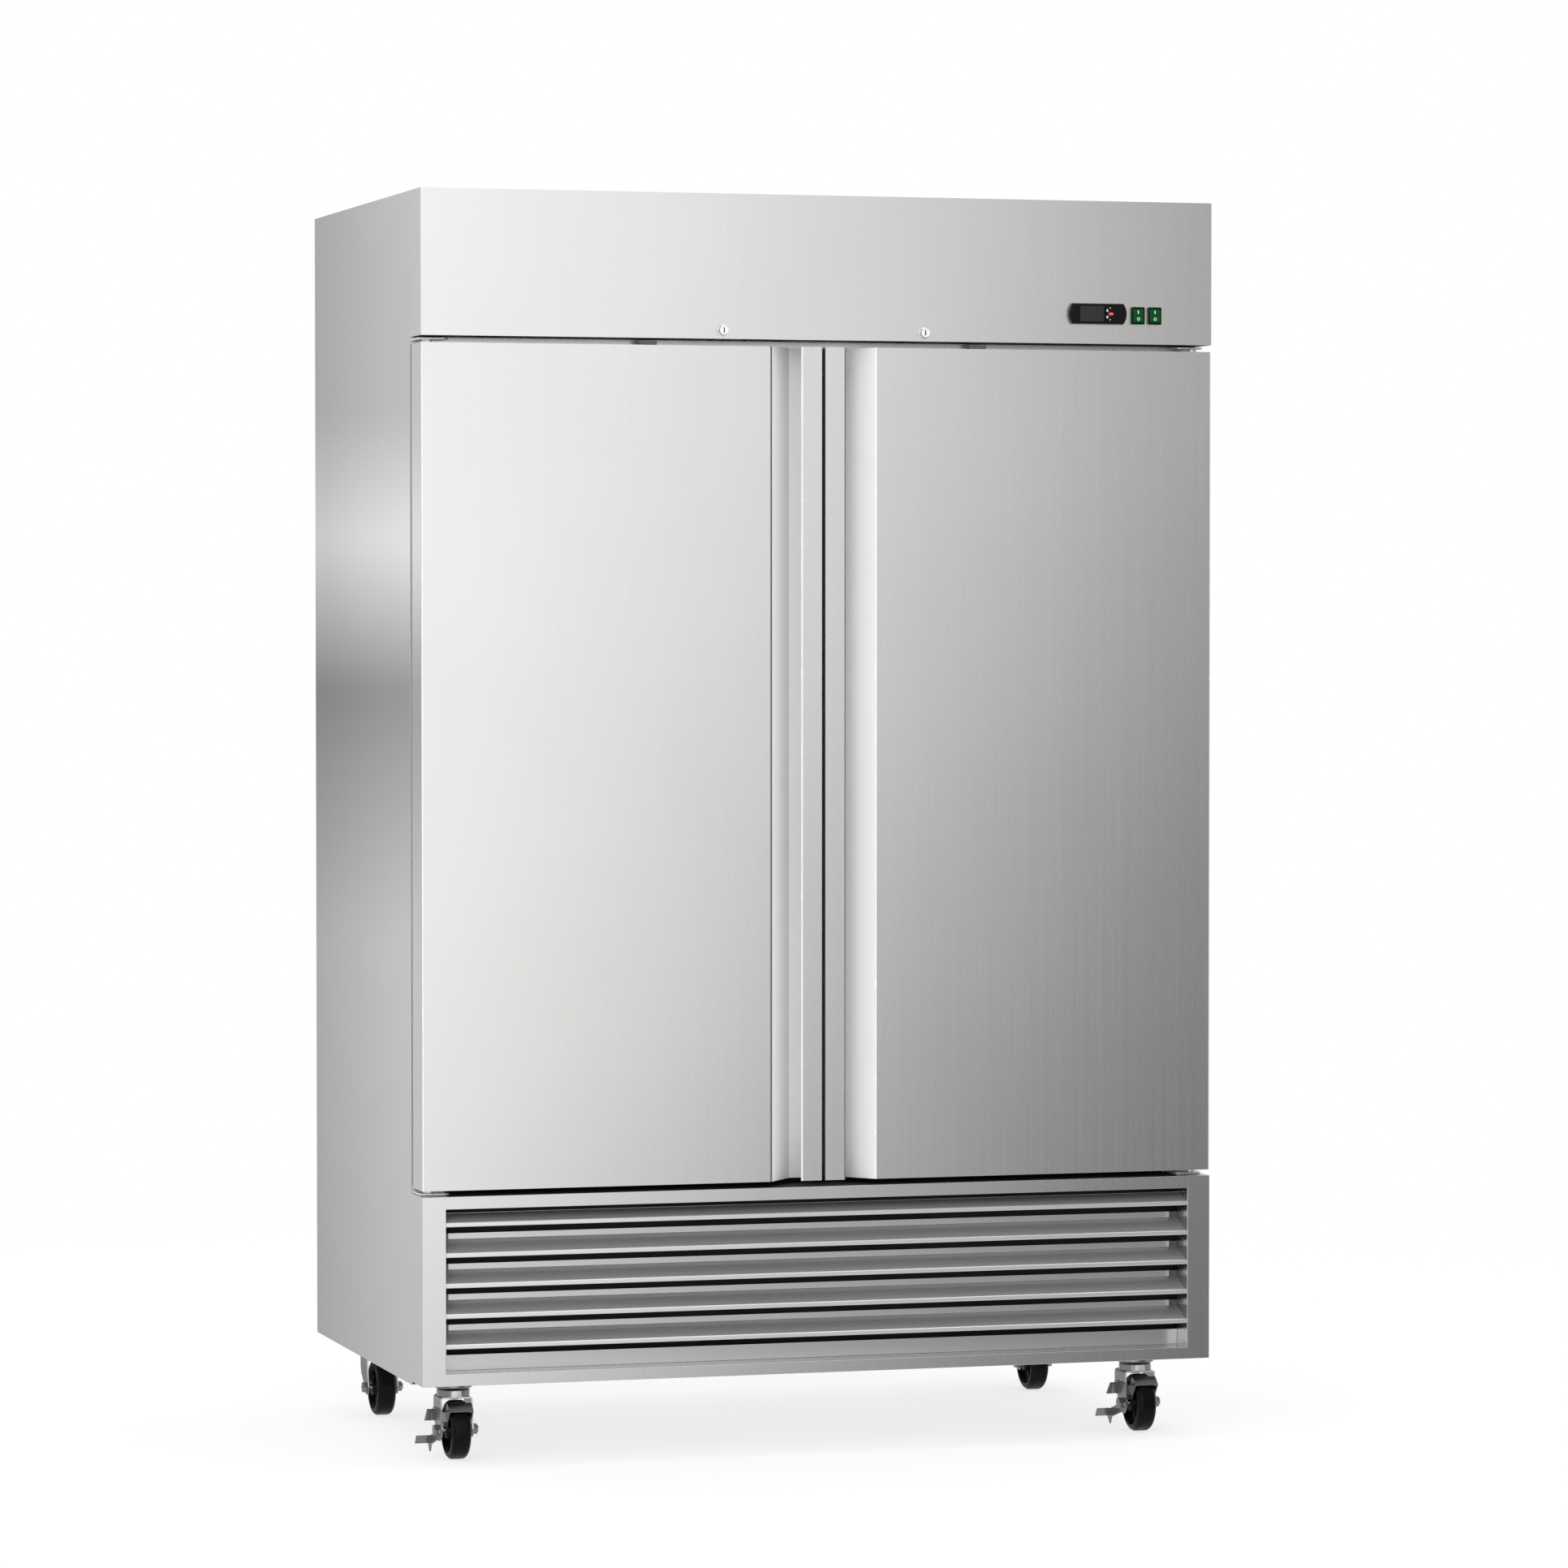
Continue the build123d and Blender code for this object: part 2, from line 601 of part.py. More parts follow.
# ---- grille -------------------------------------------------------------------------------
def grille_frame():
    """Lower front panel: a folded box with a deep opening for the louvres."""
    frame = block(-HALF, HALF, FRONT, SEAM - 0.2, BASE, KICK_TOP)
    frame -= block(-HALF + SHEET, HALF - SHEET, FRONT + SHEET, SEAM + 5, BASE + SHEET,
                   KICK_TOP - SHEET)
    deep = FRONT + LOUVER_DEPTH + 1.8
    collar = block(-GRILLE_HALF - SHEET, GRILLE_HALF + SHEET, FRONT, deep, GRILLE_LOW - SHEET,
                   GRILLE_HIGH + SHEET)
    frame += collar
    frame -= block(-GRILLE_HALF, GRILLE_HALF, FRONT - 5, deep + 5, GRILLE_LOW, GRILLE_HIGH)
    frame -= block(-HALF + SHEET, HALF - SHEET, SEAM - 4, SEAM + 5, KICK_TOP - 5, KICK_TOP + 5)
    return frame


def louver(lip, full):
    """Z-shaped blade: rear flange, slope down to the front, and a rolled lip."""
    t = 1.2
    deep = FRONT + LOUVER_DEPTH
    top = lip + 35.6
    bend = lip + 25.0
    if not full:
        deep = FRONT + 35.0
        top = lip + 20.4
        bend = lip + 19.2
    points = [
        (deep, top), (deep + t, top), (deep + t, bend), (FRONT + 8.2, lip + 7.0),
        (FRONT + 8.2, lip), (FRONT + 5.6, lip), (FRONT + 4.6, lip + 1.5), (FRONT + 4.6, lip + 6.0),
        (FRONT + 5.6, lip + 7.6), (deep, bend + 0.8),
    ]
    return prism("x", points, -GRILLE_HALF + 0.3, GRILLE_HALF - 0.3)


def louvers():
    """Five blades, the plate under them, and the end tabs that carry them."""
    blades = [louver(lip, k > 0) for k, lip in enumerate(LOUVER_LIP)]
    deep = FRONT + LOUVER_DEPTH
    for k, lip in enumerate(LOUVER_LIP[1:], start=1):
        tab = block(GRILLE_HALF - 15, GRILLE_HALF - 0.3, deep - 1.2, deep + 0.1, lip + 26.5, lip + 35.6)
        blades[k] = blades[k] + tab + flip(tab)
    blades.append(block(-GRILLE_HALF + 0.3, GRILLE_HALF - 0.3, deep, deep + 1.2, GRILLE_LOW + 0.3,
                        LOUVER_LIP[-1] - 14.7))
    for x in (-630, 630 - 1.2):
        blades.append(block(x, x + 1.2, deep + 1.3, deep + 14, GRILLE_LOW + 2, GRILLE_HIGH - 2))
    return blades


def air_filter():
    """Mat in a shallow frame, behind the louvres."""
    y0 = FRONT + LOUVER_DEPTH + 15.5
    return block(-GRILLE_HALF - 12, GRILLE_HALF + 12, y0, y0 + 7, GRILLE_LOW - 12, GRILLE_HIGH + 12)


# ---- machine compartment ------------------------------------------------------------------
TRAY_T = 3.0
FLOOR_Z = BASE + TRAY_T
COMPRESSOR = (330.0, 190.0)
CONDENSER_X = (-560.0, -160.0)
CONDENSER_Y = (FRONT + 110.0, FRONT + 165.0)
COND_FAN = (-360.0, FRONT + 215.0, 292.0)
COND_FAN_R = 112.0
CASTER_HOLES = 32.0


def base_tray():
    """Deck of the machine compartment, with turned-up front and side edges."""
    tray = block(-HALF + SHEET, HALF - SHEET, SEAM, BACK - SHEET, BASE, FLOOR_Z)
    tray += block(-HALF + SHEET, HALF - SHEET, SEAM, SEAM + TRAY_T, FLOOR_Z, BASE + 18)
    for x in (-HALF + SHEET, HALF - SHEET - TRAY_T):
        tray += block(x, x + TRAY_T, SEAM + FRAME_T, BACK - SHEET, FLOOR_Z, DECK)
    tray += block(-HALF + SHEET, HALF - SHEET, BACK - SHEET - TRAY_T, BACK - SHEET, FLOOR_Z,
                  BASE + 30)
    for x, z in GRILLE_SCREWS:
        tray -= rod("y", (x, BACK, z), SCREW_R, 30)
    for x in (-CASTER_X, CASTER_X):
        for y in CASTER_Y:
            for dx in (-CASTER_HOLES, CASTER_HOLES):
                for dy in (-CASTER_HOLES, CASTER_HOLES):
                    tray -= rod("z", (x + dx, y + dy, BASE), 4.2, 20)
    return tray


def compressor():
    """Welded dome on a foot plate with rubber mounts."""
    x, y = COMPRESSOR
    plate = block(x - 105, x + 105, y - 75, y + 75, FLOOR_Z + 14, FLOOR_Z + 18)
    body = rod("z", (x, y, FLOOR_Z + 18 + 85), 82, 170)
    body = fillet(body.edges().filter_by(GeomType.CIRCLE), 34)
    seam = rod("z", (x, y, FLOOR_Z + 105), 86, 10)
    mounts = [rod("z", (x + dx, y + dy, FLOOR_Z + 7), 13, 14) for dx in (-85, 85) for dy in (-55, 55)]
    terminal = block(x - 25, x + 25, y - 112, y - 70, FLOOR_Z + 60, FLOOR_Z + 120)
    shell = plate.fuse(body, seam, terminal)
    return [shell, *mounts]


def condenser_coil():
    """Finned block between end plates, with copper bends at both ends."""
    x0, x1 = CONDENSER_X
    y0, y1 = CONDENSER_Y
    fins = [block(x, x + 3, y0, y1, FLOOR_Z + 10, 415) for x in range(int(x0) + 14, int(x1) - 14, 10)]
    plates = [block(x, x + 2, y0 - 4, y1 + 4, FLOOR_Z, 420) for x in (x0 + 4, x1 - 6)]
    tubes = []
    for row in (0, 1):
        for level in range(7):
            z = FLOOR_Z + 35 + level * 35
            tubes.append(rod("x", ((x0 + x1) / 2, y0 + 15 + row * 25, z), 4.5, x1 - x0 + 16))
    return tubes[0].fuse(*tubes[1:], *fins, *plates)


def fan_shroud():
    """Sheet shroud behind the condenser, with the fan motor on its bracket."""
    x0, x1 = CONDENSER_X
    y0 = CONDENSER_Y[1] + 5
    fx, fy, fz = COND_FAN
    shroud = block(x0, x1, y0, y0 + 62, FLOOR_Z, 424)
    shroud -= block(x0 + 2, x1 - 2, y0 - 1, y0 + 60, FLOOR_Z + 2, 422)
    shroud -= rod("y", (fx, y0 + 60, fz), COND_FAN_R + 6, 20)
    shroud += block(fx - 130, fx + 130, y0 + 80, y0 + 83, fz - 12, fz + 12)
    for x in (fx - 130, fx + 127):
        shroud += block(x, x + 3, y0 + 61, y0 + 83, fz - 12, fz + 12)
    motor = rod("y", (fx, y0 + 83 + 30, fz), 40, 60)
    motor = fillet(motor.edges().filter_by(GeomType.CIRCLE), 8)
    shroud += motor
    shroud -= rod("y", (fx, y0 + 86, fz), 4 + RUNNING, 40)
    return shroud


def refrigerant_lines():
    """Discharge line to the condenser, and suction line up to the cold side."""
    x, y = COMPRESSOR
    x1 = CONDENSER_X[1]
    discharge = round_bar([
        (x - 86.5, y, FLOOR_Z + 60), (x - 160, y, FLOOR_Z + 60), (x - 160, y - 150, FLOOR_Z + 60),
        (-60, y - 150, FLOOR_Z + 60), (-60, CONDENSER_Y[0] + 15, FLOOR_Z + 60),
        (-60, CONDENSER_Y[0] + 15, FLOOR_Z + 105 + 35), (x1 + 8.1, CONDENSER_Y[0] + 15, FLOOR_Z + 140),
    ], 4, 18)
    suction = round_bar([
        (x + 40, y + 86.5, FLOOR_Z + 105), (x + 40, y + 150, FLOOR_Z + 105),
        (x + 200, y + 150, FLOOR_Z + 105), (x + 200, y + 150, DECK - 0.3),
    ], 6, 24)
    return [discharge, suction]


def electrical_box():
    """Wiring box on the deck, and the cord gland in the rear cover."""
    box = block(470, 640, FRONT + 130, FRONT + 250, FLOOR_Z, FLOOR_Z + 150)
    box = fillet(box.edges().filter_by(Axis.Z), 6)
    gland = rod("y", (GLAND_X, BACK - 15, GLAND_Z), 10.8, 30)
    gland += rod("y", (GLAND_X, BACK - 6.5, GLAND_Z), 16, 10)
    gland -= rod("y", (GLAND_X, BACK, GLAND_Z), 5.5, 60)
    return [box, gland]


def drain_pan():
    """Open tray that catches the condensate."""
    pan = block(-600, -180, 130, 380, FLOOR_Z, FLOOR_Z + 46)
    pan = fillet(pan.edges().filter_by(Axis.Z), 20)
    hollow = block(-598, -182, 132, 378, FLOOR_Z + 2, FLOOR_Z + 60)
    hollow = fillet(hollow.edges().filter_by(Axis.Z), 18)
    return pan - hollow


# ---- casters ------------------------------------------------------------------------------
RACE_LOW = 117.0


def caster_plate(x, y):
    """Top plate, fixed race and kingpin of one caster."""
    plate = block(x - 46, x + 46, y - 46, y + 46, BASE - 3, BASE)
    plate = fillet(plate.edges().filter_by(Axis.Z), 8)
    race = rod("z", (x, y, RACE_LOW + 4), 32, 8)
    race = fillet(race.edges().filter_by(GeomType.CIRCLE), 2.5)
    neck = rod("z", (x, y, (RACE_LOW + BASE) / 2), 25, BASE - RACE_LOW - 1)
    pin = rod("z", (x, y, (97 + RACE_LOW) / 2 + 2), 6, RACE_LOW - 97 + 4)
    head = rod("z", (x, y, 98.4), 9.5, 2.4)
    bolts = []
    for dx in (-CASTER_HOLES, CASTER_HOLES):
        for dy in (-CASTER_HOLES, CASTER_HOLES):
            hexagon = extrude(Plane.XY.offset(BASE - 8) * Pos(x + dx, y + dy)
                              * RegularPolygon(6.5, 6), 5)
            bolts.append(hexagon + rod("z", (x + dx, y + dy, BASE - 0.6), 4, 6.8))
    return (plate + race + neck + pin + head).fuse(*bolts)


def fork(x, y, brake):
    """Pressed yoke that swivels on the kingpin, with its axle bolt and nut."""
    axle_y = y - TRAIL
    axle_z = WHEEL_R
    web = block(x - FORK_HALF, x + FORK_HALF, y - 26, y + 26, FORK_TOP - FORK_T, FORK_TOP)
    crown = rod("z", (x, y, (FORK_TOP + RACE_LOW - 0.6) / 2), 27.5, RACE_LOW - 0.6 - FORK_TOP)
    crown = fillet(crown.edges().filter_by(GeomType.CIRCLE).sort_by(Axis.Z)[-1], 4)
    yoke = web
    leg_points = [
        (y - 26, FORK_TOP), (y + 26, FORK_TOP), (y + 26, FORK_TOP - 22), (y + 20, FORK_TOP - 34),
        (axle_y + 13, axle_z - 2), (axle_y + 8, axle_z - 12), (axle_y - 8, axle_z - 12),
        (axle_y - 13, axle_z + 2), (y - 26, FORK_TOP - 26),
    ]
    for side in (-1, 1):
        inner = x + side * (FORK_HALF - FORK_T)
        outer = x + side * FORK_HALF
        yoke += prism("x", leg_points, min(inner, outer), max(inner, outer))
    envelope = block(x - FORK_HALF, x + FORK_HALF, y - 60, y + 60, 0, FORK_TOP)
    yoke &= fillet(envelope.edges().filter_by(Axis.Y).sort_by(Axis.Z)[-2:], 5)
    yoke += crown
    yoke -= rod("z", (x, y, 108), 6 + RUNNING, 40)
    yoke -= rod("x", (x, axle_y, axle_z), AXLE_R, 80)
    left_end = x - FORK_HALF - (4.2 if brake else 0.0)
    shoulder = []
    if brake:
        middle = (x - FORK_HALF - 2.1, axle_y + BRAKE_PIVOT[0], axle_z + BRAKE_PIVOT[1])
        shoulder = [rod("x", middle, SHOULDER_R, 4.2)]
    right_end = x + FORK_HALF
    hexagon = Plane.YZ * RegularPolygon(9.6, 6)
    head = extrude(Pos(left_end - 7, axle_y, axle_z) * hexagon, 7)
    shank = rod("x", ((left_end + right_end + 10) / 2, axle_y, axle_z), AXLE_R,
                right_end + 10 - left_end)
    nut = extrude(Pos(right_end, axle_y, axle_z) * hexagon, 7.5)
    nut -= rod("x", (x, axle_y, axle_z), AXLE_R, 200)
    return [yoke, (head + shank).fuse(*shoulder) if shoulder else head + shank, nut]


def wheel(x, y):
    """Moulded wheel with a rounded tread and a dished web."""
    half = WHEEL_W / 2
    hub = HUB_W / 2
    bore = AXLE_R + RUNNING
    with BuildPart() as part:
        with BuildSketch(Plane.XY):
            with BuildLine():
                Line((-hub, bore), (-hub, 14))
                Line((-hub, 14), (-6, 16))
                Line((-6, 16), (-6, 36))
                Line((-6, 36), (-half + 1, 40))
                Line((-half + 1, 40), (-half, WHEEL_R - 9))
                ThreePointArc((-half, WHEEL_R - 9), (-half + 2.9, WHEEL_R - 2.6), (-half + 9, WHEEL_R))
                Line((-half + 9, WHEEL_R), (half - 9, WHEEL_R))
                ThreePointArc((half - 9, WHEEL_R), (half - 2.9, WHEEL_R - 2.6), (half, WHEEL_R - 9))
                Line((half, WHEEL_R - 9), (half - 1, 40))
                Line((half - 1, 40), (6, 36))
                Line((6, 36), (6, 16))
                Line((6, 16), (hub, 14))
                Line((hub, 14), (hub, bore))
                Line((hub, bore), (-hub, bore))
            make_face()
        revolve(axis=Axis.X)
    return Pos(x, y - TRAIL, WHEEL_R) * part.part


SHOE_R = 50.6


def brake(x, y):
    """Foot lever outside the fork and a shoe over the tread, folded from one sheet."""
    ay = y - TRAIL
    az = WHEEL_R
    outer = x - FORK_HALF - 0.5
    lever_points = [
        (ay - 21, az + 34), (ay + 38, az + 34), (ay + 44, az + 12), (ay + 24, az + 12),
        (ay + 17, az - 3), (ay + 66, az - 19), (ay + 75, az - 32), (ay + 63, az - 44),
        (ay + 57, az - 32), (ay + 6, az - 17), (ay - 10, az - 17), (ay - 18, az - 8), (ay - 21, az + 8),
    ]
    lever = prism("x", lever_points, outer - 3, outer)
    pivot = (outer, ay + BRAKE_PIVOT[0], az + BRAKE_PIVOT[1])
    lever -= rod("x", pivot, SHOULDER_R + RUNNING, 20)
    upper = prism("x", [(ay + 22, az + 31), (ay + 24.6, az + 32.4), (ay + 44, az + 12),
                        (ay + 41.4, az + 10.6)], outer - 16, outer - 2)
    lower = prism("x", [(ay + 64, az - 17), (ay + 66.6, az - 17.2), (ay + 75.8, az - 31.6),
                        (ay + 72.8, az - 31.6)], outer - 25, outer - 2)
    shoe = shoe_bail(x, ay, az)
    web = block(outer - 3, x - HUB_W / 2 - 0.6, ay - 20.6, ay - 18.0, az + 16, az + 32)
    return lever + upper + lower + web + shoe


def shoe_bail(x, ay, az):
    """Arms either side of the wheel and the band that bridges its tread."""
    inner = HUB_W / 2 + 0.6
    thick = 2.0
    band = rod("x", (x, ay, az), SHOE_R + thick, 2 * (inner + thick))
    band -= rod("x", (x, ay, az), SHOE_R, 200)
    reach = 90.0
    angles = (27.0, 50.0)
    corners = [(ay - reach * math.sin(math.radians(a)), az + reach * math.cos(math.radians(a)))
               for a in angles]
    band &= prism("x", [(ay, az), *corners], x - 40, x + 40)
    arm_points = [(ay + 9, az + 10), (ay - 14, az - 2)]
    arm_points += [(ay - (SHOE_R + thick) * math.sin(math.radians(a)),
                    az + (SHOE_R + thick) * math.cos(math.radians(a))) for a in (50.0, 38.5, 27.0)]
    arms = None
    for side in (-1, 1):
        near = x + side * inner
        far = x + side * (inner + thick)
        arm = prism("x", arm_points, min(near, far), max(near, far))
        arm -= rod("x", (x, ay, az), AXLE_R + 2.6, 100)
        arms = arm if arms is None else arms + arm
    return band + arms


# ---- screws -------------------------------------------------------------------------------
def screws():
    """Flush screws of the back panel and rear cover, pan heads on the evaporator cover."""
    found = []
    for x, z in BACK_SCREWS + GRILLE_SCREWS:
        shank = rod("y", (x, BACK - SHEET - 3.9, z), SCREW_R - 0.1, 8.0)
        found.append(screw_head(x, z, 0) + shank)
    for x, z in EVAP_SCREWS:
        head = rod("y", (x, EVAP_FRONT - 1.2, z), 4.5, 2.4)
        found.append(head + rod("y", (x, EVAP_FRONT + 1.0, z), SCREW_R - 0.1, 2.4))
    return found


# ---- write every node ---------------------------------------------------------------------
right_side = side_panel()
save("right_side_panel", right_side)
save("left_side_panel", flip(right_side))
save("top_panel", top_panel())
save("back_panel", back_panel())
save("rear_grille", rear_grille())
save("face_frame", face_frame())
save("center_mullion", center_mullion())
save("cabinet_foam", cabinet_foam())
save("interior_liner", interior_liner())
save("shelf_standards", *standards())
save("shelf_clips", *clips())
shelf = wire_shelf()
save("wire_shelves", *[Pos(0, 0, z) * s for z in SHELF_Z for s in both(shelf)])
save("evaporator_cover", evaporator_cover())
save("evaporator_coil", evaporator_coil())
save("evaporator_fan", fan(EVAP_FAN, EVAP_FAN_R, 22, 26, 5, 3, 26))
save("interior_light", interior_light())
save("header_panel", header_panel())
save("lock_housings", lock_housing(-LOCK_X), lock_housing(LOCK_X))
save("left_lock_plug", lock_plug(-LOCK_X))
save("right_lock_plug", lock_plug(LOCK_X))
save("controller_housing", controller_housing())
save("controller_display", controller_display())
save("up_button", button(BUTTON_Z[0]))
save("down_button", button(BUTTON_Z[1]))
save("switch_frames", *[switch_frame(x) for x in SWITCH_X])
save("light_rocker", rocker(SWITCH_X[0]))
save("power_rocker", rocker(SWITCH_X[1]))
save("right_door_skin", door_skin(LOCK_X))
save("left_door_skin", flip(door_skin(LOCK_X - 22)))
save("right_door_foam", door_foam())
save("left_door_foam", flip(door_foam()))
for side, liner, gasket in (("right", door_liner(), door_gasket()),
                            ("left", flip(door_liner()), flip(door_gasket()))):
    save(f"{side}_door_liner", liner)
    save(f"{side}_door_gasket", gasket)
save("hinge_brackets", *both(hinge_bracket(True)), *both(hinge_bracket(False)))
save("door_switches", *both(door_switch()))
save("grille_frame", grille_frame())
save("grille_louvers", *louvers())
save("air_filter", air_filter())
save("base_tray", base_tray())
save("compressor", *compressor())
save("condenser_coil", condenser_coil())
save("fan_shroud", fan_shroud())
save("condenser_fan", fan(COND_FAN, COND_FAN_R, 28, 30, 4, 4, 40))
save("refrigerant_lines", *refrigerant_lines())
save("electrical_box", *electrical_box())
save("drain_pan", drain_pan())
save("caster_plates", *[caster_plate(x, y) for x in (-CASTER_X, CASTER_X) for y in CASTER_Y])
for row, y in (("front", CASTER_Y[0]), ("rear", CASTER_Y[1])):
    for side, x in (("left", -CASTER_X), ("right", CASTER_X)):
        save(f"{row}_{side}_fork", *fork(x, y, row == "front"))
        save(f"{row}_{side}_wheel", wheel(x, y))
        if row == "front":
            save(f"{row}_{side}_brake", brake(x, y))
save("panel_screws", *screws())
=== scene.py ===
"""Looks of the two-door stainless reach-in refrigerator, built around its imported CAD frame."""
import json
import math

import bmesh
import bpy
from mathutils.bvhtree import BVHTree
from mathutils import Matrix, Vector


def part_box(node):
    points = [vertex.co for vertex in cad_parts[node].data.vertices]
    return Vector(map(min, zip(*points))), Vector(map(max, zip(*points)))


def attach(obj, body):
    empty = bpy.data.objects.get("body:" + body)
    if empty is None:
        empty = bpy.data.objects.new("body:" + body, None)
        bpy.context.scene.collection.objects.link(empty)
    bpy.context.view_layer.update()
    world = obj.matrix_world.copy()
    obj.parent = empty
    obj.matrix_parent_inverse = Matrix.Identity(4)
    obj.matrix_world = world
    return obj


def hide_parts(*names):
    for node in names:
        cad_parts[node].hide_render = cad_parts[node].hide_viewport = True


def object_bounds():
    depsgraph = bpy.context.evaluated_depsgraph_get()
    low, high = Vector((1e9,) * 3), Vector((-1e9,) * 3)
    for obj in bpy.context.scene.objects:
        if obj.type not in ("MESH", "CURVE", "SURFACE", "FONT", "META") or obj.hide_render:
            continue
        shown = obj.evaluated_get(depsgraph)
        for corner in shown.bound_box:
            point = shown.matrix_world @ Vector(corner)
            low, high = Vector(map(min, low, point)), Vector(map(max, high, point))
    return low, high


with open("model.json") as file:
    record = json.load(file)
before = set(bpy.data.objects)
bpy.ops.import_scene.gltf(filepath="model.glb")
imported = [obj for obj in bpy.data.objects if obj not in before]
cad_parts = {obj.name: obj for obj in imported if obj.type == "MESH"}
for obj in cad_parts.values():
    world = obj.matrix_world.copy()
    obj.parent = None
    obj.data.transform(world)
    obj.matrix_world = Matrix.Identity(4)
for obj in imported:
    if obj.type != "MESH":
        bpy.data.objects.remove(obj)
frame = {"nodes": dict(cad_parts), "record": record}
NODES = frame["nodes"]
CAD_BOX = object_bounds()
MM = 0.001

# ---- places read from the frame -----------------------------------------------------------
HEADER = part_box("header_panel")
DOOR = {side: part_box(f"{side}_door_skin") for side in ("left", "right")}
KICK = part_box("grille_frame")
BACK_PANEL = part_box("back_panel")
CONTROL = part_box("controller_housing")
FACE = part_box("face_frame")
FRONT_Y = HEADER[0].y
SEAM_Y = FACE[0].y
BACK_Y = BACK_PANEL[1].y
HALF = HEADER[1].x
BASE_Z = KICK[0].z

# ---- driving values, in metres and radians ------------------------------------------------
LIP_X = 0.0386                          # edge of each door's grip lip, from the middle
GRIP_X = 0.0905                         # where the grip channel meets the door's face
CHANNEL_X = (0.0062, 0.0895)            # inside of the grip channel, from the middle
CHANNEL_Y = (0.0012, 0.060)             # and from the door's front
ROLL = 0.0024                           # radius of the door skin's upright front edges
NEAR = 0.0030                           # faces this close to such an edge belong to it
STRIP_HALF = 0.630                      # half length of the black strip on the sill, painted shade under the doors
STRIP_RISE = 0.0180                     # the strip ends this far above the doors' lower edge
BLADES = 5
BLADE_TOP = 261.4 * MM                  # lip of the top blade above the cabinet's underside
BLADE_PITCH = 50.3 * MM
BLADE_DEEP = 0.049                      # front plane to the blades' back edges
TOP_BLADE_DEEP = 0.035                  # the top blade is shallower
TAB_X = 0.631                           # inner end of the end tabs that are painted dark as shade, from the middle
TREAD_CURVE = 0.009                     # radius of the wheels' shoulders
SPOKES = 5
LENS = 136.43                           # millimetres, on a sensor 36 mm wide
CAMERA_YAW = 0.2872
CAMERA_PITCH = 0.0294
CAMERA_PLACE = (-2.8657, FRONT_Y - 9.469, BASE_Z + 1.2744)
FLOOR_RADIUS = 3.4


# ---- camera, floor and light --------------------------------------------------------------
def make_camera():
    """A long lens, a little above the middle and to the left."""
    data = bpy.data.cameras.new("camera")
    camera = bpy.data.objects.new("camera", data)
    bpy.context.collection.objects.link(camera)
    data.lens = LENS
    data.sensor_width = 36.0
    data.clip_end = 60.0
    camera.location = CAMERA_PLACE
    camera.rotation_euler = (math.pi / 2 - CAMERA_PITCH, 0.0, -CAMERA_YAW)
    bpy.context.scene.camera = camera


def make_floor():
    """A pale round floor that fades out at its rim."""
    bm = bmesh.new()
    bmesh.ops.create_circle(bm, cap_ends=True, segments=96, radius=FLOOR_RADIUS)
    floor = add_mesh("floor", bm)
    floor.location = (0, 0, -0.0004)
    mat = bpy.data.materials.new("pale_floor")
    tree = start(mat)
    paint = tree.node("ShaderNodeBsdfDiffuse", Color=(0.30, 0.30, 0.30, 1))
    lift = tree.node("ShaderNodeEmission", Color=(1, 1, 1, 1), Strength=0.73)
    pale = tree.node("ShaderNodeAddShader")
    tree.link(paint, 0, pale, 0)
    tree.link(lift, 0, pale, 1)
    clear = tree.node("ShaderNodeBsdfTransparent")
    place = tree.node("ShaderNodeTexCoord")
    far = tree.node("ShaderNodeVectorMath", op="LENGTH")
    tree.link(place, "Object", far, 0)
    fade = tree.ramp([(0.0, (0, 0, 0, 1)), (0.32, (0, 0, 0, 1)), (1.0, (1, 1, 1, 1))])
    scale = tree.node("ShaderNodeMath", op="MULTIPLY", values={1: 1 / 3.3})
    tree.link(far, "Value", scale, 0)
    tree.link(scale, 0, fade, 0)
    mix = tree.node("ShaderNodeMixShader")
    tree.link(fade, 0, mix, 0)
    tree.link(pale, 0, mix, 1)
    tree.link(clear, 0, mix, 2)
    tree.out(mix)
    floor.data.materials.append(mat)
    floor.visible_glossy = False


def area_light(name, place, aim, size, power):
    """A soft box that looks from its place towards aim."""
    data = bpy.data.lights.new(name, "AREA")
    data.shape = "RECTANGLE"
    data.size, data.size_y = size
    data.energy = power
    light = bpy.data.objects.new(name, data)
    bpy.context.collection.objects.link(light)
    light.location = place
    light.rotation_euler = (Vector(aim) - Vector(place)).to_track_quat("-Z", "Y").to_euler()


# a leaning card, in shares of its own height and length
LEAN_TOP = 0.62                         # the gradient slants below this height
LEAN_FROM = 0.375                       # from this far along
LEAN_BLEND = 0.085                      # and comes in over this length
FOOT_HIGH, FOOT_LOW = 0.33, 0.165       # near its foot the slant takes the whole length


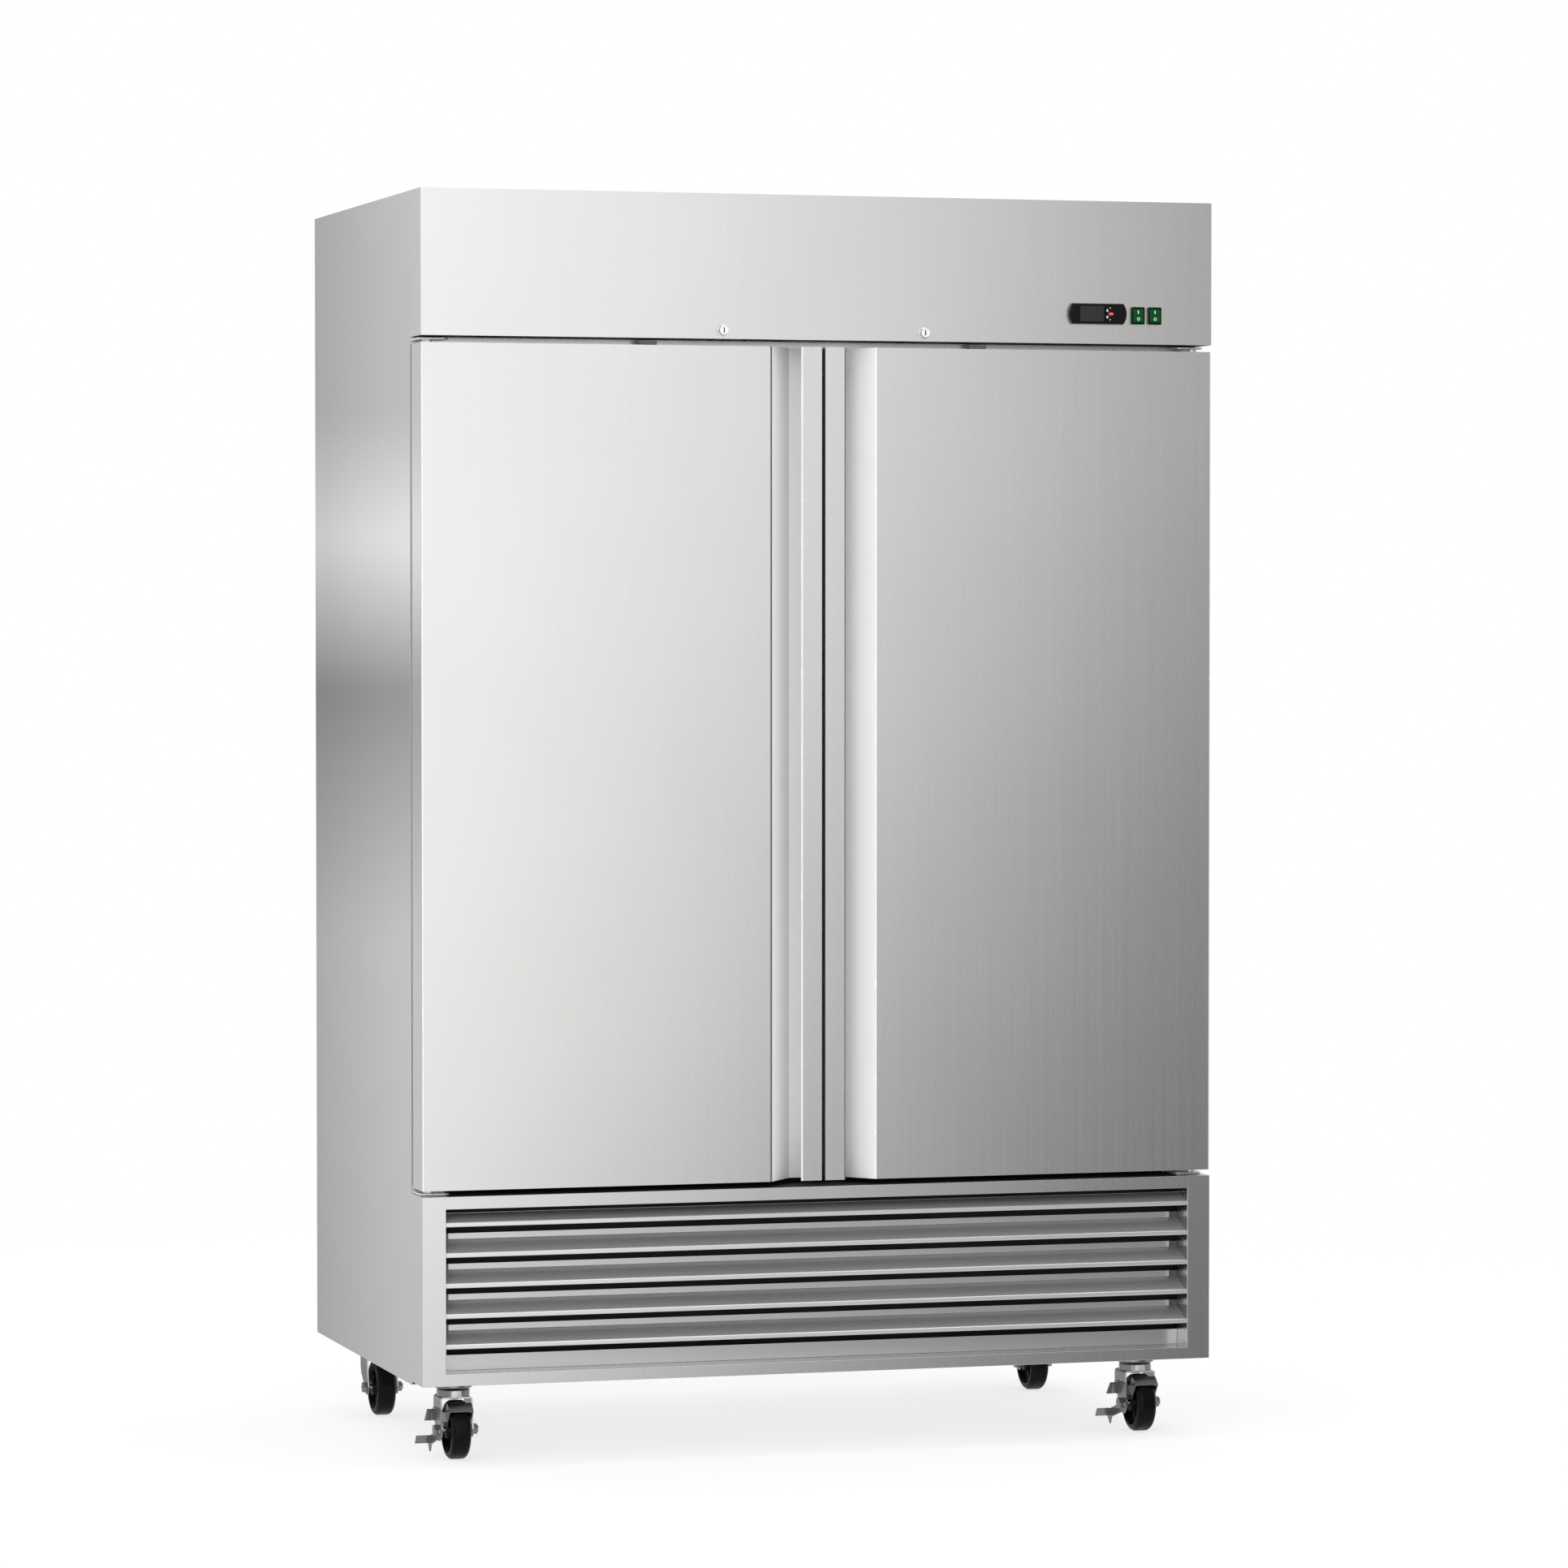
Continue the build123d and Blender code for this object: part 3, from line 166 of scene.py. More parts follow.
def reflection_card(name, corners, stops, lean=0.0, across=((0.0, 1.0), (1.0, 1.0)), strength=1.6):
    """A glowing sheet that only shows in reflections.

    Its brightness runs along its first edge, times a second run across, and lean slants it.
    """
    bm = bmesh.new()
    ring = [bm.verts.new(c) for c in corners]
    bm.faces.new(ring)
    uv = bm.loops.layers.uv.new("run")
    for loop, place in zip(bm.faces[:][0].loops, ((0, 0), (1, 0), (1, 1), (0, 1))):
        loop[uv].uv = place
    card = add_mesh(name, bm)
    mat = bpy.data.materials.new(name)
    tree = start(mat)
    place = tree.node("ShaderNodeUVMap")
    place.uv_map = "run"
    split = tree.node("ShaderNodeSeparateXYZ")
    tree.link(place, 0, split, 0)
    below = tree.node("ShaderNodeMapRange", values={1: LEAN_TOP, 2: 0.0, 3: 0.0, 4: lean * LEAN_TOP})
    tree.link(split, "Y", below, 0)
    inner = tree.node("ShaderNodeMapRange", values={1: LEAN_FROM, 2: LEAN_FROM + LEAN_BLEND, 3: 0.0, 4: 1.0})
    tree.link(split, "X", inner, 0)
    foot = tree.node("ShaderNodeMapRange", values={1: FOOT_HIGH, 2: FOOT_LOW, 3: 0.0, 4: 1.0})
    tree.link(split, "Y", foot, 0)
    share = tree.node("ShaderNodeMath", op="ADD")
    share.use_clamp = True
    tree.link(inner, 0, share, 0)
    tree.link(foot, 0, share, 1)
    run = tree.node("ShaderNodeMath", op="MULTIPLY_ADD")
    tree.link(below, 0, run, 0)
    tree.link(share, 0, run, 1)
    tree.link(split, "X", run, 2)
    ramp = tree.ramp([(a, (v, v, v, 1)) for a, v in stops])
    tree.link(run, 0, ramp, 0)
    other = tree.ramp([(a, (v, v, v, 1)) for a, v in across])
    tree.link(split, "Y", other, 0)
    both = tree.node("ShaderNodeVectorMath", op="MULTIPLY")
    tree.link(ramp, 0, both, 0)
    tree.link(other, 0, both, 1)
    light = tree.node("ShaderNodeEmission", Strength=strength)
    tree.link(both, 0, light, "Color")
    tree.out(light)
    card.data.materials.append(mat)
    card.visible_camera = False
    card.visible_diffuse = False
    card.visible_transmission = False
    card.visible_volume_scatter = False
    card.visible_shadow = False


def make_light():
    """A soft white room, three soft boxes and two wide glowing cards that the steel mirrors."""
    world = bpy.data.worlds.new("studio")
    bpy.context.scene.world = world
    world.use_nodes = True
    world.node_tree.nodes.clear()
    tree = Tree(world.node_tree)
    plain = tree.node("ShaderNodeBackground", Color=(1, 1, 1, 1), Strength=1.0)
    soft = tree.node("ShaderNodeBackground", Color=(1, 1, 1, 1), Strength=0.8)
    ray = tree.node("ShaderNodeLightPath")
    outer = tree.node("ShaderNodeMixShader")
    tree.link(ray, "Is Camera Ray", outer, 0)
    tree.link(soft, 0, outer, 1)
    tree.link(plain, 0, outer, 2)
    final = world.node_tree.nodes.new("ShaderNodeOutputWorld")
    world.node_tree.links.new(outer.outputs[0], final.inputs[0])
    # front card: mirrored by the doors, header and kick panel
    y = FRONT_Y - 3.0
    left, right, low, high = -2.6, 4.4, -1.2, 3.6
    corners = [(left, y, low), (right, y, low), (right, y, high), (left, y, high)]
    stops = [(0.0, 0.98), (0.38, 0.94), (0.52, 0.69), (0.6, 0.42), (0.7, 0.16), (0.8, 0.08), (1.0, 0.07)]
    reflection_card("front_card", corners, stops, lean=0.345)
    # side card: mirrored by the left side, with a light band over a dark one
    y = BACK_Y + 1.4
    left, right, low, high = -2.6, -0.3, -1.0, 3.4
    corners = [(left, y, low), (left, y, high), (right, y, high), (right, y, low)]
    unit = 1 / (high - low)
    levels = [(-1.0, 0.34), (0.75, 0.42), (1.1, 0.28), (1.25, 0.21), (1.55, 0.60), (1.8, 0.37), (3.4, 0.40)]
    reflection_card("side_card", corners, [((z - low) * unit, v) for z, v in levels],
                    across=((0.0, 1.0), (0.57, 1.0), (0.73, 0.42), (1.0, 0.34)),
                    strength=2.25)
    area_light("key_box", (-3.2, -4.6, 3.6), (0, 0, 1.1), (2.6, 2.6), 60)
    area_light("top_box", (0.6, -0.6, 4.6), (0, 0, 1.0), (3.0, 3.0), 45)
    area_light("rear_box", (-2.6, 4.4, 2.6), (0, 0, 1.0), (2.4, 2.4), 40)
    bpy.context.scene.view_settings.view_transform = "Standard"


# ---- mesh and material helpers ------------------------------------------------------------
class Tree:
    """Short names for building a node tree."""

    def __init__(self, tree):
        self.tree = tree

    def node(self, kind, op=None, values=None, **named):
        n = self.tree.nodes.new(kind)
        if op:
            n.operation = op
        for key, value in (values or {}).items():
            n.inputs[key].default_value = value
        for key, value in named.items():
            n.inputs[key.replace("_", " ")].default_value = value
        return n

    def link(self, a, a_out, b, b_in):
        self.tree.links.new(a.outputs[a_out], b.inputs[b_in])

    def ramp(self, stops):
        n = self.tree.nodes.new("ShaderNodeValToRGB")
        band = n.color_ramp
        while len(band.elements) < len(stops):
            band.elements.new(0.5)
        for element, (place, colour) in zip(band.elements, stops):
            element.position = place
            element.color = colour
        return n

    def out(self, shader):
        n = self.tree.nodes.new("ShaderNodeOutputMaterial")
        self.link(shader, 0, n, 0)


def start(mat):
    mat.use_nodes = True
    mat.node_tree.nodes.clear()
    return Tree(mat.node_tree)


def add_mesh(name, bm):
    mesh = bpy.data.meshes.new(name)
    bm.to_mesh(mesh)
    bm.free()
    piece = bpy.data.objects.new(name, mesh)
    bpy.context.collection.objects.link(piece)
    return piece


def apply_modifiers(piece):
    """Bakes the piece's modifiers into its mesh."""
    graph = bpy.context.evaluated_depsgraph_get()
    mesh = bpy.data.meshes.new_from_object(piece.evaluated_get(graph))
    piece.modifiers.clear()
    old = piece.data
    piece.data = mesh
    bpy.data.meshes.remove(old)


def smooth(piece, angle=35):
    for face in piece.data.polygons:
        face.use_smooth = True
    piece.data.set_sharp_from_angle(angle=math.radians(angle))


def finish_piece(piece, body, mat, replaced=(), bevel=0.0, segments=2, angle=35):
    """Bevels, shades and paints a piece, and puts it on its body."""
    if bevel:
        mod = piece.modifiers.new("bevel", "BEVEL")
        mod.width = bevel
        mod.segments = segments
        mod.limit_method = "ANGLE"
        mod.angle_limit = math.radians(30)
        apply_modifiers(piece)
    smooth(piece, angle)
    even = piece.modifiers.new("even", "WEIGHTED_NORMAL")
    even.weight = 100
    even.keep_sharp = True
    apply_modifiers(piece)
    piece.data.materials.clear()
    piece.data.materials.append(mat)
    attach(piece, body)
    if replaced:
        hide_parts(*replaced)
    return piece


def rounded(points, radii, steps=5):
    """A closed outline with each corner turned into an arc of its radius."""
    found = []
    count = len(points)
    for k, point in enumerate(points):
        radius = radii[k] if isinstance(radii, (list, tuple)) else radii
        here = Vector(point)
        before = Vector(points[k - 1]) - here
        after = Vector(points[(k + 1) % count]) - here
        if radius <= 0 or before.length < 1e-9 or after.length < 1e-9:
            found.append(tuple(here))
            continue
        turn = before.angle(after)
        reach = min(radius / math.tan(turn / 2), before.length * 0.49, after.length * 0.49)
        radius = reach * math.tan(turn / 2)
        middle = here + (before.normalized() + after.normalized()).normalized() * (
            radius / math.sin(turn / 2))
        first = here + before.normalized() * reach - middle
        last = here + after.normalized() * reach - middle
        sweep = first.angle_signed(last) if first.length and last.length else 0
        for step in range(steps + 1):
            spin = Matrix.Rotation(-sweep * step / steps, 2)
            found.append(tuple(middle + spin @ first))
    return found


def extruded(name, outline, axis, low, high):
    """A closed outline pushed along x or y. The outline holds the other two axes in order."""
    bm = bmesh.new()
    rings = []
    for end in (low, high):
        rings.append([bm.verts.new((end, a, b) if axis == "x" else (a, end, b)) for a, b in outline])
    count = len(outline)
    for k in range(count):
        n = (k + 1) % count
        bm.faces.new((rings[0][k], rings[0][n], rings[1][n], rings[1][k]))
    bm.faces.new(rings[0][::-1])
    bm.faces.new(rings[1])
    bmesh.ops.recalc_face_normals(bm, faces=bm.faces)
    return add_mesh(name, bm)


def cut(piece, *boxes):
    """Takes boxes (low corner, high corner) out of a closed piece."""
    for low, high in boxes:
        bm = bmesh.new()
        bmesh.ops.create_cube(bm, size=1.0)
        tool = add_mesh("cutter", bm)
        tool.scale = Vector(high) - Vector(low)
        tool.location = (Vector(high) + Vector(low)) / 2
        mod = piece.modifiers.new("cut", "BOOLEAN")
        mod.operation = "DIFFERENCE"
        mod.solver = "EXACT"
        mod.object = tool
        bpy.context.view_layer.update()
        apply_modifiers(piece)
        bpy.data.objects.remove(tool)


def lathe(name, profile, axis, centre, steps=64):
    """A closed profile of (along, radius) points turned about the x or y axis through centre."""
    bm = bmesh.new()
    rings = []
    for k in range(steps):
        turn = 2 * math.pi * k / steps
        c, s = math.cos(turn), math.sin(turn)
        ring = []
        for along, radius in profile:
            offset = {"x": (along, radius * c, radius * s), "y": (radius * c, along, radius * s)}[axis]
            ring.append(bm.verts.new(Vector(centre) + Vector(offset)))
        rings.append(ring)
    count = len(profile)
    for k in range(steps):
        a, b = rings[k], rings[(k + 1) % steps]
        for i in range(count):
            j = (i + 1) % count
            bm.faces.new((a[i], a[j], b[j], b[i]))
    bmesh.ops.remove_doubles(bm, verts=bm.verts, dist=1e-7)
    bmesh.ops.recalc_face_normals(bm, faces=bm.faces)
    return add_mesh(name, bm)


def box_piece(name, low, high):
    bm = bmesh.new()
    bmesh.ops.create_cube(bm, size=1.0)
    for v in bm.verts:
        v.co = Vector([low[i] + (v.co[i] + 0.5) * (high[i] - low[i]) for i in range(3)])
    return add_mesh(name, bm)


def joined(name, pieces):
    """One piece made of several."""
    bm = bmesh.new()
    for piece in pieces:
        bm.from_mesh(piece.data)
        bpy.data.objects.remove(piece)
    return add_mesh(name, bm)


# ---- materials ----------------------------------------------------------------------------
def noise(tree, scale, detail=3.0, rough=0.6, stretch=(1, 1, 1)):
    """Noise in the piece's own space, in metres."""
    place = tree.node("ShaderNodeTexCoord")
    fit = tree.node("ShaderNodeMapping")
    fit.inputs["Scale"].default_value = stretch
    tree.link(place, "Object", fit, 0)
    n = tree.node("ShaderNodeTexNoise", Scale=scale, Detail=detail, Roughness=rough)
    tree.link(fit, 0, n, "Vector")
    return n


def mapped(tree, source, out, low, high, from_low=0.3, from_high=0.7):
    """A value stretched from one range to another."""
    n = tree.node("ShaderNodeMapRange", values={1: from_low, 2: from_high, 3: low, 4: high})
    tree.link(source, out, n, 0)
    return n


def tinted(tree, base, factor):
    """base colour times a grey factor."""
    n = tree.node("ShaderNodeMix")
    n.data_type = "RGBA"
    n.blend_type = "MULTIPLY"
    n.inputs[0].default_value = 1.0
    n.inputs[6].default_value = (*base, 1)
    tree.link(factor, 0, n, 7)
    return n


def brushed(name, base=(0.62, 0.62, 0.61), rough=0.30, aniso=0.5, grain=0.05, along="z",
            metallic=1.0, fine=1.0, bump=0.12):
    """Brushed metal whose grain runs along x or z, with faint handling marks."""
    mat = bpy.data.materials.new(name)
    tree = start(mat)
    shader = tree.node("ShaderNodeBsdfPrincipled", Metallic=metallic, Anisotropic=aniso)
    drawn = 3.0 / 700                   # the noise is drawn out along the grain
    stretch = (drawn, 1.0, 1.0) if along == "x" else (1.0, 1.0, drawn)
    thin = noise(tree, 760 * fine, 4.0, 0.65, stretch)
    wide = noise(tree, 95 * fine, 3.0, 0.6, stretch)
    cloud = noise(tree, 2.6, 3.0, 0.5)
    streak = tree.node("ShaderNodeMath", op="ADD")
    a = mapped(tree, thin, 0, -grain, grain, 0.25, 0.75)
    b = mapped(tree, wide, 0, -grain * 0.5, grain * 0.5, 0.25, 0.75)
    tree.link(a, 0, streak, 0)
    tree.link(b, 0, streak, 1)
    soft = mapped(tree, cloud, 0, 0.985, 1.015)
    total = tree.node("ShaderNodeMath", op="ADD")
    tree.link(streak, 0, total, 0)
    tree.link(soft, 0, total, 1)
    colour = tinted(tree, base, total)
    tree.link(colour, 2, shader, "Base Color")
    r = tree.node("ShaderNodeMath", op="MULTIPLY_ADD", values={1: 0.9, 2: rough})
    tree.link(streak, 0, r, 0)
    tree.link(r, 0, shader, "Roughness")
    lift = tree.node("ShaderNodeBump", Strength=bump, Distance=0.0002)
    tree.link(thin, 0, lift, "Height")
    tree.link(lift, 0, shader, "Normal")
    if aniso:
        tangent = tree.node("ShaderNodeTangent")
        tangent.direction_type = "RADIAL"
        tangent.axis = along.upper()
        tree.link(tangent, 0, shader, "Tangent")
    tree.out(shader)
    return mat


def cast(name, base, rough, metallic=0.0, scale=900, depth=0.15, spread=0.06, coat=0.0, speck=1.0,
         shine=0.5):
    """Moulded, painted or plated surface with fine texture and uneven gloss."""
    mat = bpy.data.materials.new(name)
    tree = start(mat)
    shader = tree.node("ShaderNodeBsdfPrincipled", Metallic=metallic)
    shader.inputs["Coat Weight"].default_value = coat
    shader.inputs["Specular IOR Level"].default_value = shine
    fine = noise(tree, scale, 4.0, 0.6)
    broad = noise(tree, 22 * speck, 4.0, 0.6)
    f = mapped(tree, broad, 0, 1 - spread, 1 + spread)
    colour = tinted(tree, base, f)
    tree.link(colour, 2, shader, "Base Color")
    r = mapped(tree, broad, 0, max(rough - spread, 0.02), rough + spread)
    tree.link(r, 0, shader, "Roughness")
    lift = tree.node("ShaderNodeBump", Strength=depth, Distance=0.0003)
    tree.link(fine, 0, lift, "Height")
    tree.link(lift, 0, shader, "Normal")
    tree.out(shader)
    return mat


def glow(name, colour, strength):
    """A lamp's face."""
    mat = bpy.data.materials.new(name)
    tree = start(mat)
    shader = tree.node("ShaderNodeBsdfPrincipled", Base_Color=(*colour, 1), Roughness=0.25)
    shader.inputs["Emission Color"].default_value = (*colour, 1)
    shader.inputs["Emission Strength"].default_value = strength
    tint = noise(tree, 600, 2.0)
    r = mapped(tree, tint, 0, 0.2, 0.32)
    tree.link(r, 0, shader, "Roughness")
    tree.out(shader)
    return mat


STEEL = brushed("front_steel", rough=0.27, aniso=0.45, grain=0.022)
HEADER_STEEL = brushed("header_steel", rough=0.27, aniso=0.45, grain=0.014)
TOP_STEEL = brushed("top_steel", rough=0.30, aniso=0.0, grain=0.012, along="x")
SIDE_STEEL = brushed("side_steel", rough=0.19, aniso=0.5, grain=0.012)
BRIGHT_STEEL = brushed("louver_steel", base=(0.66, 0.66, 0.655), rough=0.22, aniso=0.0, grain=0.012,
                       along="x", metallic=0.55)
# a whiter, non-metallic copy of the door steel: painted light in the grip channels
CHANNEL_PAINTED_LIGHT = brushed("channel_painted_light_steel", base=(0.98, 0.98, 0.975), rough=0.34, aniso=0.0, grain=0.01,
                        metallic=0.0)
GALVANISED = cast("galvanised_mat", (0.52, 0.54, 0.55), 0.42, metallic=0.9, scale=400, speck=3.0,
                  spread=0.08)
LINER_METAL = cast("liner_mat", (0.80, 0.81, 0.82), 0.36, metallic=0.6, scale=500, depth=0.05, spread=0.02)
FOAM = cast("foam_mat", (0.80, 0.68, 0.40), 0.85, scale=700, depth=0.5)
VINYL = cast("gasket_mat", (0.10, 0.10, 0.105), 0.48, scale=1200, depth=0.25)
WHITE_COAT = cast("wire_mat", (0.84, 0.84, 0.82), 0.30, scale=600, depth=0.1, coat=0.3)
ZINC = brushed("zinc_mat", base=(0.23, 0.23, 0.225), rough=0.24, aniso=0.0, grain=0.05, along="z",
               fine=0.5, bump=0.05)
RUBBER = cast("wheel_mat", (0.0015, 0.0015, 0.0016), 0.36, scale=1400, depth=0.1, shine=0.12)
BLACK_GLOSS = cast("black_gloss_mat", (0.003, 0.003, 0.003), 0.13, scale=300, depth=0.02, shine=0.16)
BLACK = cast("black_matte_mat", (0.022, 0.022, 0.023), 0.5, scale=1600, depth=0.3)
WINDOW = cast("window_mat", (0.010, 0.010, 0.012), 0.06, scale=100, depth=0.0, shine=0.5)
GREEN = cast("rocker_mat", (0.0, 0.070, 0.012), 0.24, scale=900, depth=0.05, shine=0.12)
CHROME = cast("lock_mat", (0.66, 0.66, 0.65), 0.14, metallic=1.0, scale=1500, depth=0.06)
COPPER = cast("copper_mat", (0.72, 0.36, 0.20), 0.26, metallic=1.0, spread=0.14)
FIN = cast("fin_mat", (0.74, 0.75, 0.76), 0.3, metallic=0.9)
ENAMEL = cast("compressor_mat", (0.018, 0.018, 0.02), 0.3, scale=700, depth=0.3, coat=0.3)
WHITE_PLASTIC = cast("white_plastic_mat", (0.82, 0.82, 0.80), 0.35)
FAN_PLASTIC = cast("fan_mat", (0.05, 0.05, 0.055), 0.38)
MARK = cast("mark_mat", (0.80, 0.80, 0.79), 0.45)
RED_LAMP = glow("red_lamp", (0.85, 0.05, 0.03), 1.2)
# a dark copy of the steel: painted shade on the louvre end tabs
TAB_PAINTED_SHADE = brushed("tab_steel_painted_shade", base=(0.10, 0.10, 0.10), rough=0.35, aniso=0.0, grain=0.03)
BRACKET = cast("bracket_mat", (0.88, 0.88, 0.87), 0.22, metallic=0.35, scale=900, depth=0.05)
# flat near-white and dark grey: a painted highlight and painted shade for rounded edges and faces
PAINTED_HIGHLIGHT = cast("painted_highlight_mat", (0.90, 0.90, 0.90), 0.25, metallic=0.2, scale=1500, depth=0.03)
PAINTED_EDGE_SHADE = cast("painted_edge_shade_mat", (0.16, 0.16, 0.16), 0.4, metallic=0.5, scale=1500, depth=0.03)
# flat black that paints the shade inside the grille and under the doors
PAINTED_SHADE_BLACK = cast("painted_shade_black_mat", (0.006, 0.006, 0.006), 0.95, scale=1800, depth=0.6)

# every CAD node first gets its slot's better material; shapes below replace some of them
BY_SLOT = {
    "stainless": STEEL, "stainless_bright": BRIGHT_STEEL, "galvanised": GALVANISED,
    "liner_aluminium": LINER_METAL, "foam": FOAM, "gasket_vinyl": VINYL, "white_wire": WHITE_COAT,
    "zinc": ZINC, "wheel_black": RUBBER, "black_gloss": BLACK_GLOSS, "black_matte": BLACK,
    "display_glass": WINDOW, "rocker_green": GREEN, "chrome_lock": CHROME, "copper": COPPER,
    "aluminium_fin": FIN, "compressor_black": ENAMEL, "white_plastic": WHITE_PLASTIC,
    "fan_plastic": FAN_PLASTIC,
}
SLOT = {part["node"]: part["material_slot"] for part in frame["record"]["subparts"]}
BODY = {node: body for body, nodes in frame["record"]["behaviour"]["bodies"].items() for node in nodes}
for node, slot in SLOT.items():
    for place in NODES[node].material_slots:
        place.material = BY_SLOT[slot]


# ---- sheet metal and moulded parts that keep their CAD outline ----------------------------
def roll_edges(bm, places, radius):
    """Rounds the long upright edges that stand at the given (x, y) places."""
    found = []
    for edge in bm.edges:
        a, b = (v.co for v in edge.verts)
        if abs(a.z - b.z) > 0.1 and any(math.hypot(a.x - x, a.y - y) < 0.0004 for x, y in places):
            found.append(edge)
    bmesh.ops.bevel(bm, geom=found, offset=radius, segments=5, profile=0.5, affect="EDGES",
                    clamp_overlap=True)


def refined(node, mat, bevel=0.0006, segments=2, angle=35, rolls=(), radius=0.0):
    """A copy of a CAD node with clean faces and rounded edges, which stands for it."""
    bm = bmesh.new()
    bm.from_mesh(NODES[node].data)
    bmesh.ops.remove_doubles(bm, verts=bm.verts, dist=1e-6)
    bmesh.ops.dissolve_limit(bm, angle_limit=math.radians(1.0), verts=bm.verts, edges=bm.edges)
    bmesh.ops.recalc_face_normals(bm, faces=bm.faces)
    if rolls:
        roll_edges(bm, rolls, radius)
    piece = add_mesh(f"{node}_shape", bm)
    return finish_piece(piece, BODY[node], mat, (node,), bevel, segments, angle)


def shade(piece, mat, chosen):
    """Gives the faces picked by their centre and normal another material."""
    piece.data.materials.append(mat)
    for face in piece.data.polygons:
        if chosen(face.center, face.normal):
            face.material_index = len(piece.data.materials) - 1


def make_sheet_metal():
    """Formed and moulded parts. Undersides are painted black as painted shade, the grip channels get a whiter
    steel copy as painted light, and some edges get a painted highlight or painted shade.
    """
    for node in ("left_side_panel", "right_side_panel"):
        refined(node, SIDE_STEEL, 0.0006)
    header = refined("header_panel", HEADER_STEEL, 0.0008, 3)
    # the header's downward faces are painted black: painted shade under the header
    shade(header, BLACK, lambda c, n: n.z < -0.9)
    kick = refined("grille_frame", HEADER_STEEL, 0.0007, 3)
    # the underside of the grille opening's top rail is painted black: painted shade
    shade(kick, BLACK, lambda c, n: n.z < -0.9 and c.z > BASE_Z + 0.1)
    for side in ("left", "right"):
        s = -1 if side == "left" else 1
        skin = refined(f"{side}_door_skin", STEEL, 0.0009, 3, radius=ROLL,
                       rolls=[(s * x, FRONT_Y) for x in (LIP_X, GRIP_X, HALF)])
        # faces inside the grip channel take the whiter copy: painted light
        shade(skin, CHANNEL_PAINTED_LIGHT, lambda c, n: CHANNEL_X[0] < abs(c.x) < CHANNEL_X[1]
              and FRONT_Y + CHANNEL_Y[0] < c.y < FRONT_Y + CHANNEL_Y[1])
        # one edge of each grip gets painted shade and the other a painted highlight, as if lit from the left
        grip, lip = (PAINTED_EDGE_SHADE, PAINTED_HIGHLIGHT) if side == "left" else (PAINTED_HIGHLIGHT, PAINTED_EDGE_SHADE)
        shade(skin, grip, lambda c, n: abs(abs(c.x) - GRIP_X) < NEAR and c.y < FRONT_Y + NEAR
              and abs(n.x) > 0.12)
        shade(skin, lip, lambda c, n: abs(abs(c.x) - LIP_X) < NEAR and c.y < FRONT_Y + 0.0032
              and abs(n.x) > 0.12)
        # the door's rounded outer upright edge gets a painted highlight
        shade(skin, PAINTED_HIGHLIGHT, lambda c, n: abs(c.x) > HALF - NEAR and c.y < FRONT_Y + 0.0012
              and 0.12 < abs(n.x) < 0.8)
        refined(f"{side}_door_liner", LINER_METAL, 0.0012, 3)
    refined("top_panel", TOP_STEEL, 0.0005)
    for node in ("face_frame", "center_mullion"):
        refined(node, HEADER_STEEL, 0.0005)
    for node in ("back_panel", "rear_grille", "base_tray", "electrical_box", "drain_pan",
                 "fan_shroud"):
        refined(node, GALVANISED, 0.0006)
    for node in ("interior_liner", "evaporator_cover"):
        refined(node, LINER_METAL, 0.0006)
    refined("hinge_brackets", BRACKET, 0.0006, 3)
    refined("caster_plates", ZINC, 0.0006, 3)
    refined("door_switches", WHITE_PLASTIC, 0.0008, 3)
    refined("shelf_clips", ZINC, 0.0004)
    refined("compressor", ENAMEL, 0.0012, 3)
    refined("interior_light", WHITE_PLASTIC, 0.0008)
    for row in ("front", "rear"):
        for side in ("left", "right"):
            fork = refined(f"{row}_{side}_fork", ZINC, 0.0005, 3)
            # fork faces that face the front get a painted highlight
            shade(fork, PAINTED_HIGHLIGHT, lambda c, n: n.y < -0.95)
            if row == "front":
                refined(f"{row}_{side}_brake", ZINC, 0.0005, 3)
    for node in ("evaporator_fan", "condenser_fan"):
        refined(node, FAN_PLASTIC, 0.0005)


def make_sill_strip():
    """Black strip that lies on the sill and turns up against the face frame: painted shade in the gap under
    the doors.
    """
    sill, top = KICK[1].z, DOOR["left"][0].z + STRIP_RISE
    front, back = FRONT_Y + 0.0025, SEAM_Y - 0.0007
    outline = [(front, sill), (front, sill + 0.0006), (back, sill + 0.0006), (back, top), (SEAM_Y, top),
               (SEAM_Y, sill)]
    strip = extruded("sill_strip", outline, "x", -STRIP_HALF, STRIP_HALF)
    finish_piece(strip, "cabinet", PAINTED_SHADE_BLACK)


# ---- door gaskets -------------------------------------------------------------------------
def make_gaskets():
    """Soft ring with a dart in its root and a bellows behind its magnet."""
    for side in ("left", "right"):
        low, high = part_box(f"{side}_door_gasket")
        width = 0.013
        deep = high.y - low.y
        profile = [(0.0, 0.0), (0.0, 0.0016), (0.0018, 0.0034), (0.0004, 0.0056), (0.0018, 0.0078),
                   (0.0004, 0.0096), (0.0004, deep), (width - 0.0004, deep),
                   (width - 0.0004, 0.0096), (width - 0.0018, 0.0078), (width - 0.0004, 0.0056),
                   (width - 0.0018, 0.0034), (width, 0.0016), (width, 0.0)]
        bm = bmesh.new()
        rings = []
        for inset, y in profile:
            x0, x1 = low.x + inset, high.x - inset
            z0, z1 = low.z + inset, high.z - inset
            rings.append([bm.verts.new((x, low.y + y, z))
                          for x, z in ((x0, z0), (x1, z0), (x1, z1), (x0, z1))])
        for k, ring in enumerate(rings):
            after = rings[(k + 1) % len(rings)]
            for i in range(4):
                j = (i + 1) % 4
                bm.faces.new((ring[i], ring[j], after[j], after[i]))
        bmesh.ops.recalc_face_normals(bm, faces=bm.faces)
        piece = add_mesh(f"{side}_gasket_bellows", bm)
        finish_piece(piece, f"{side}_door", VINYL, (f"{side}_door_gasket",), 0.0003)


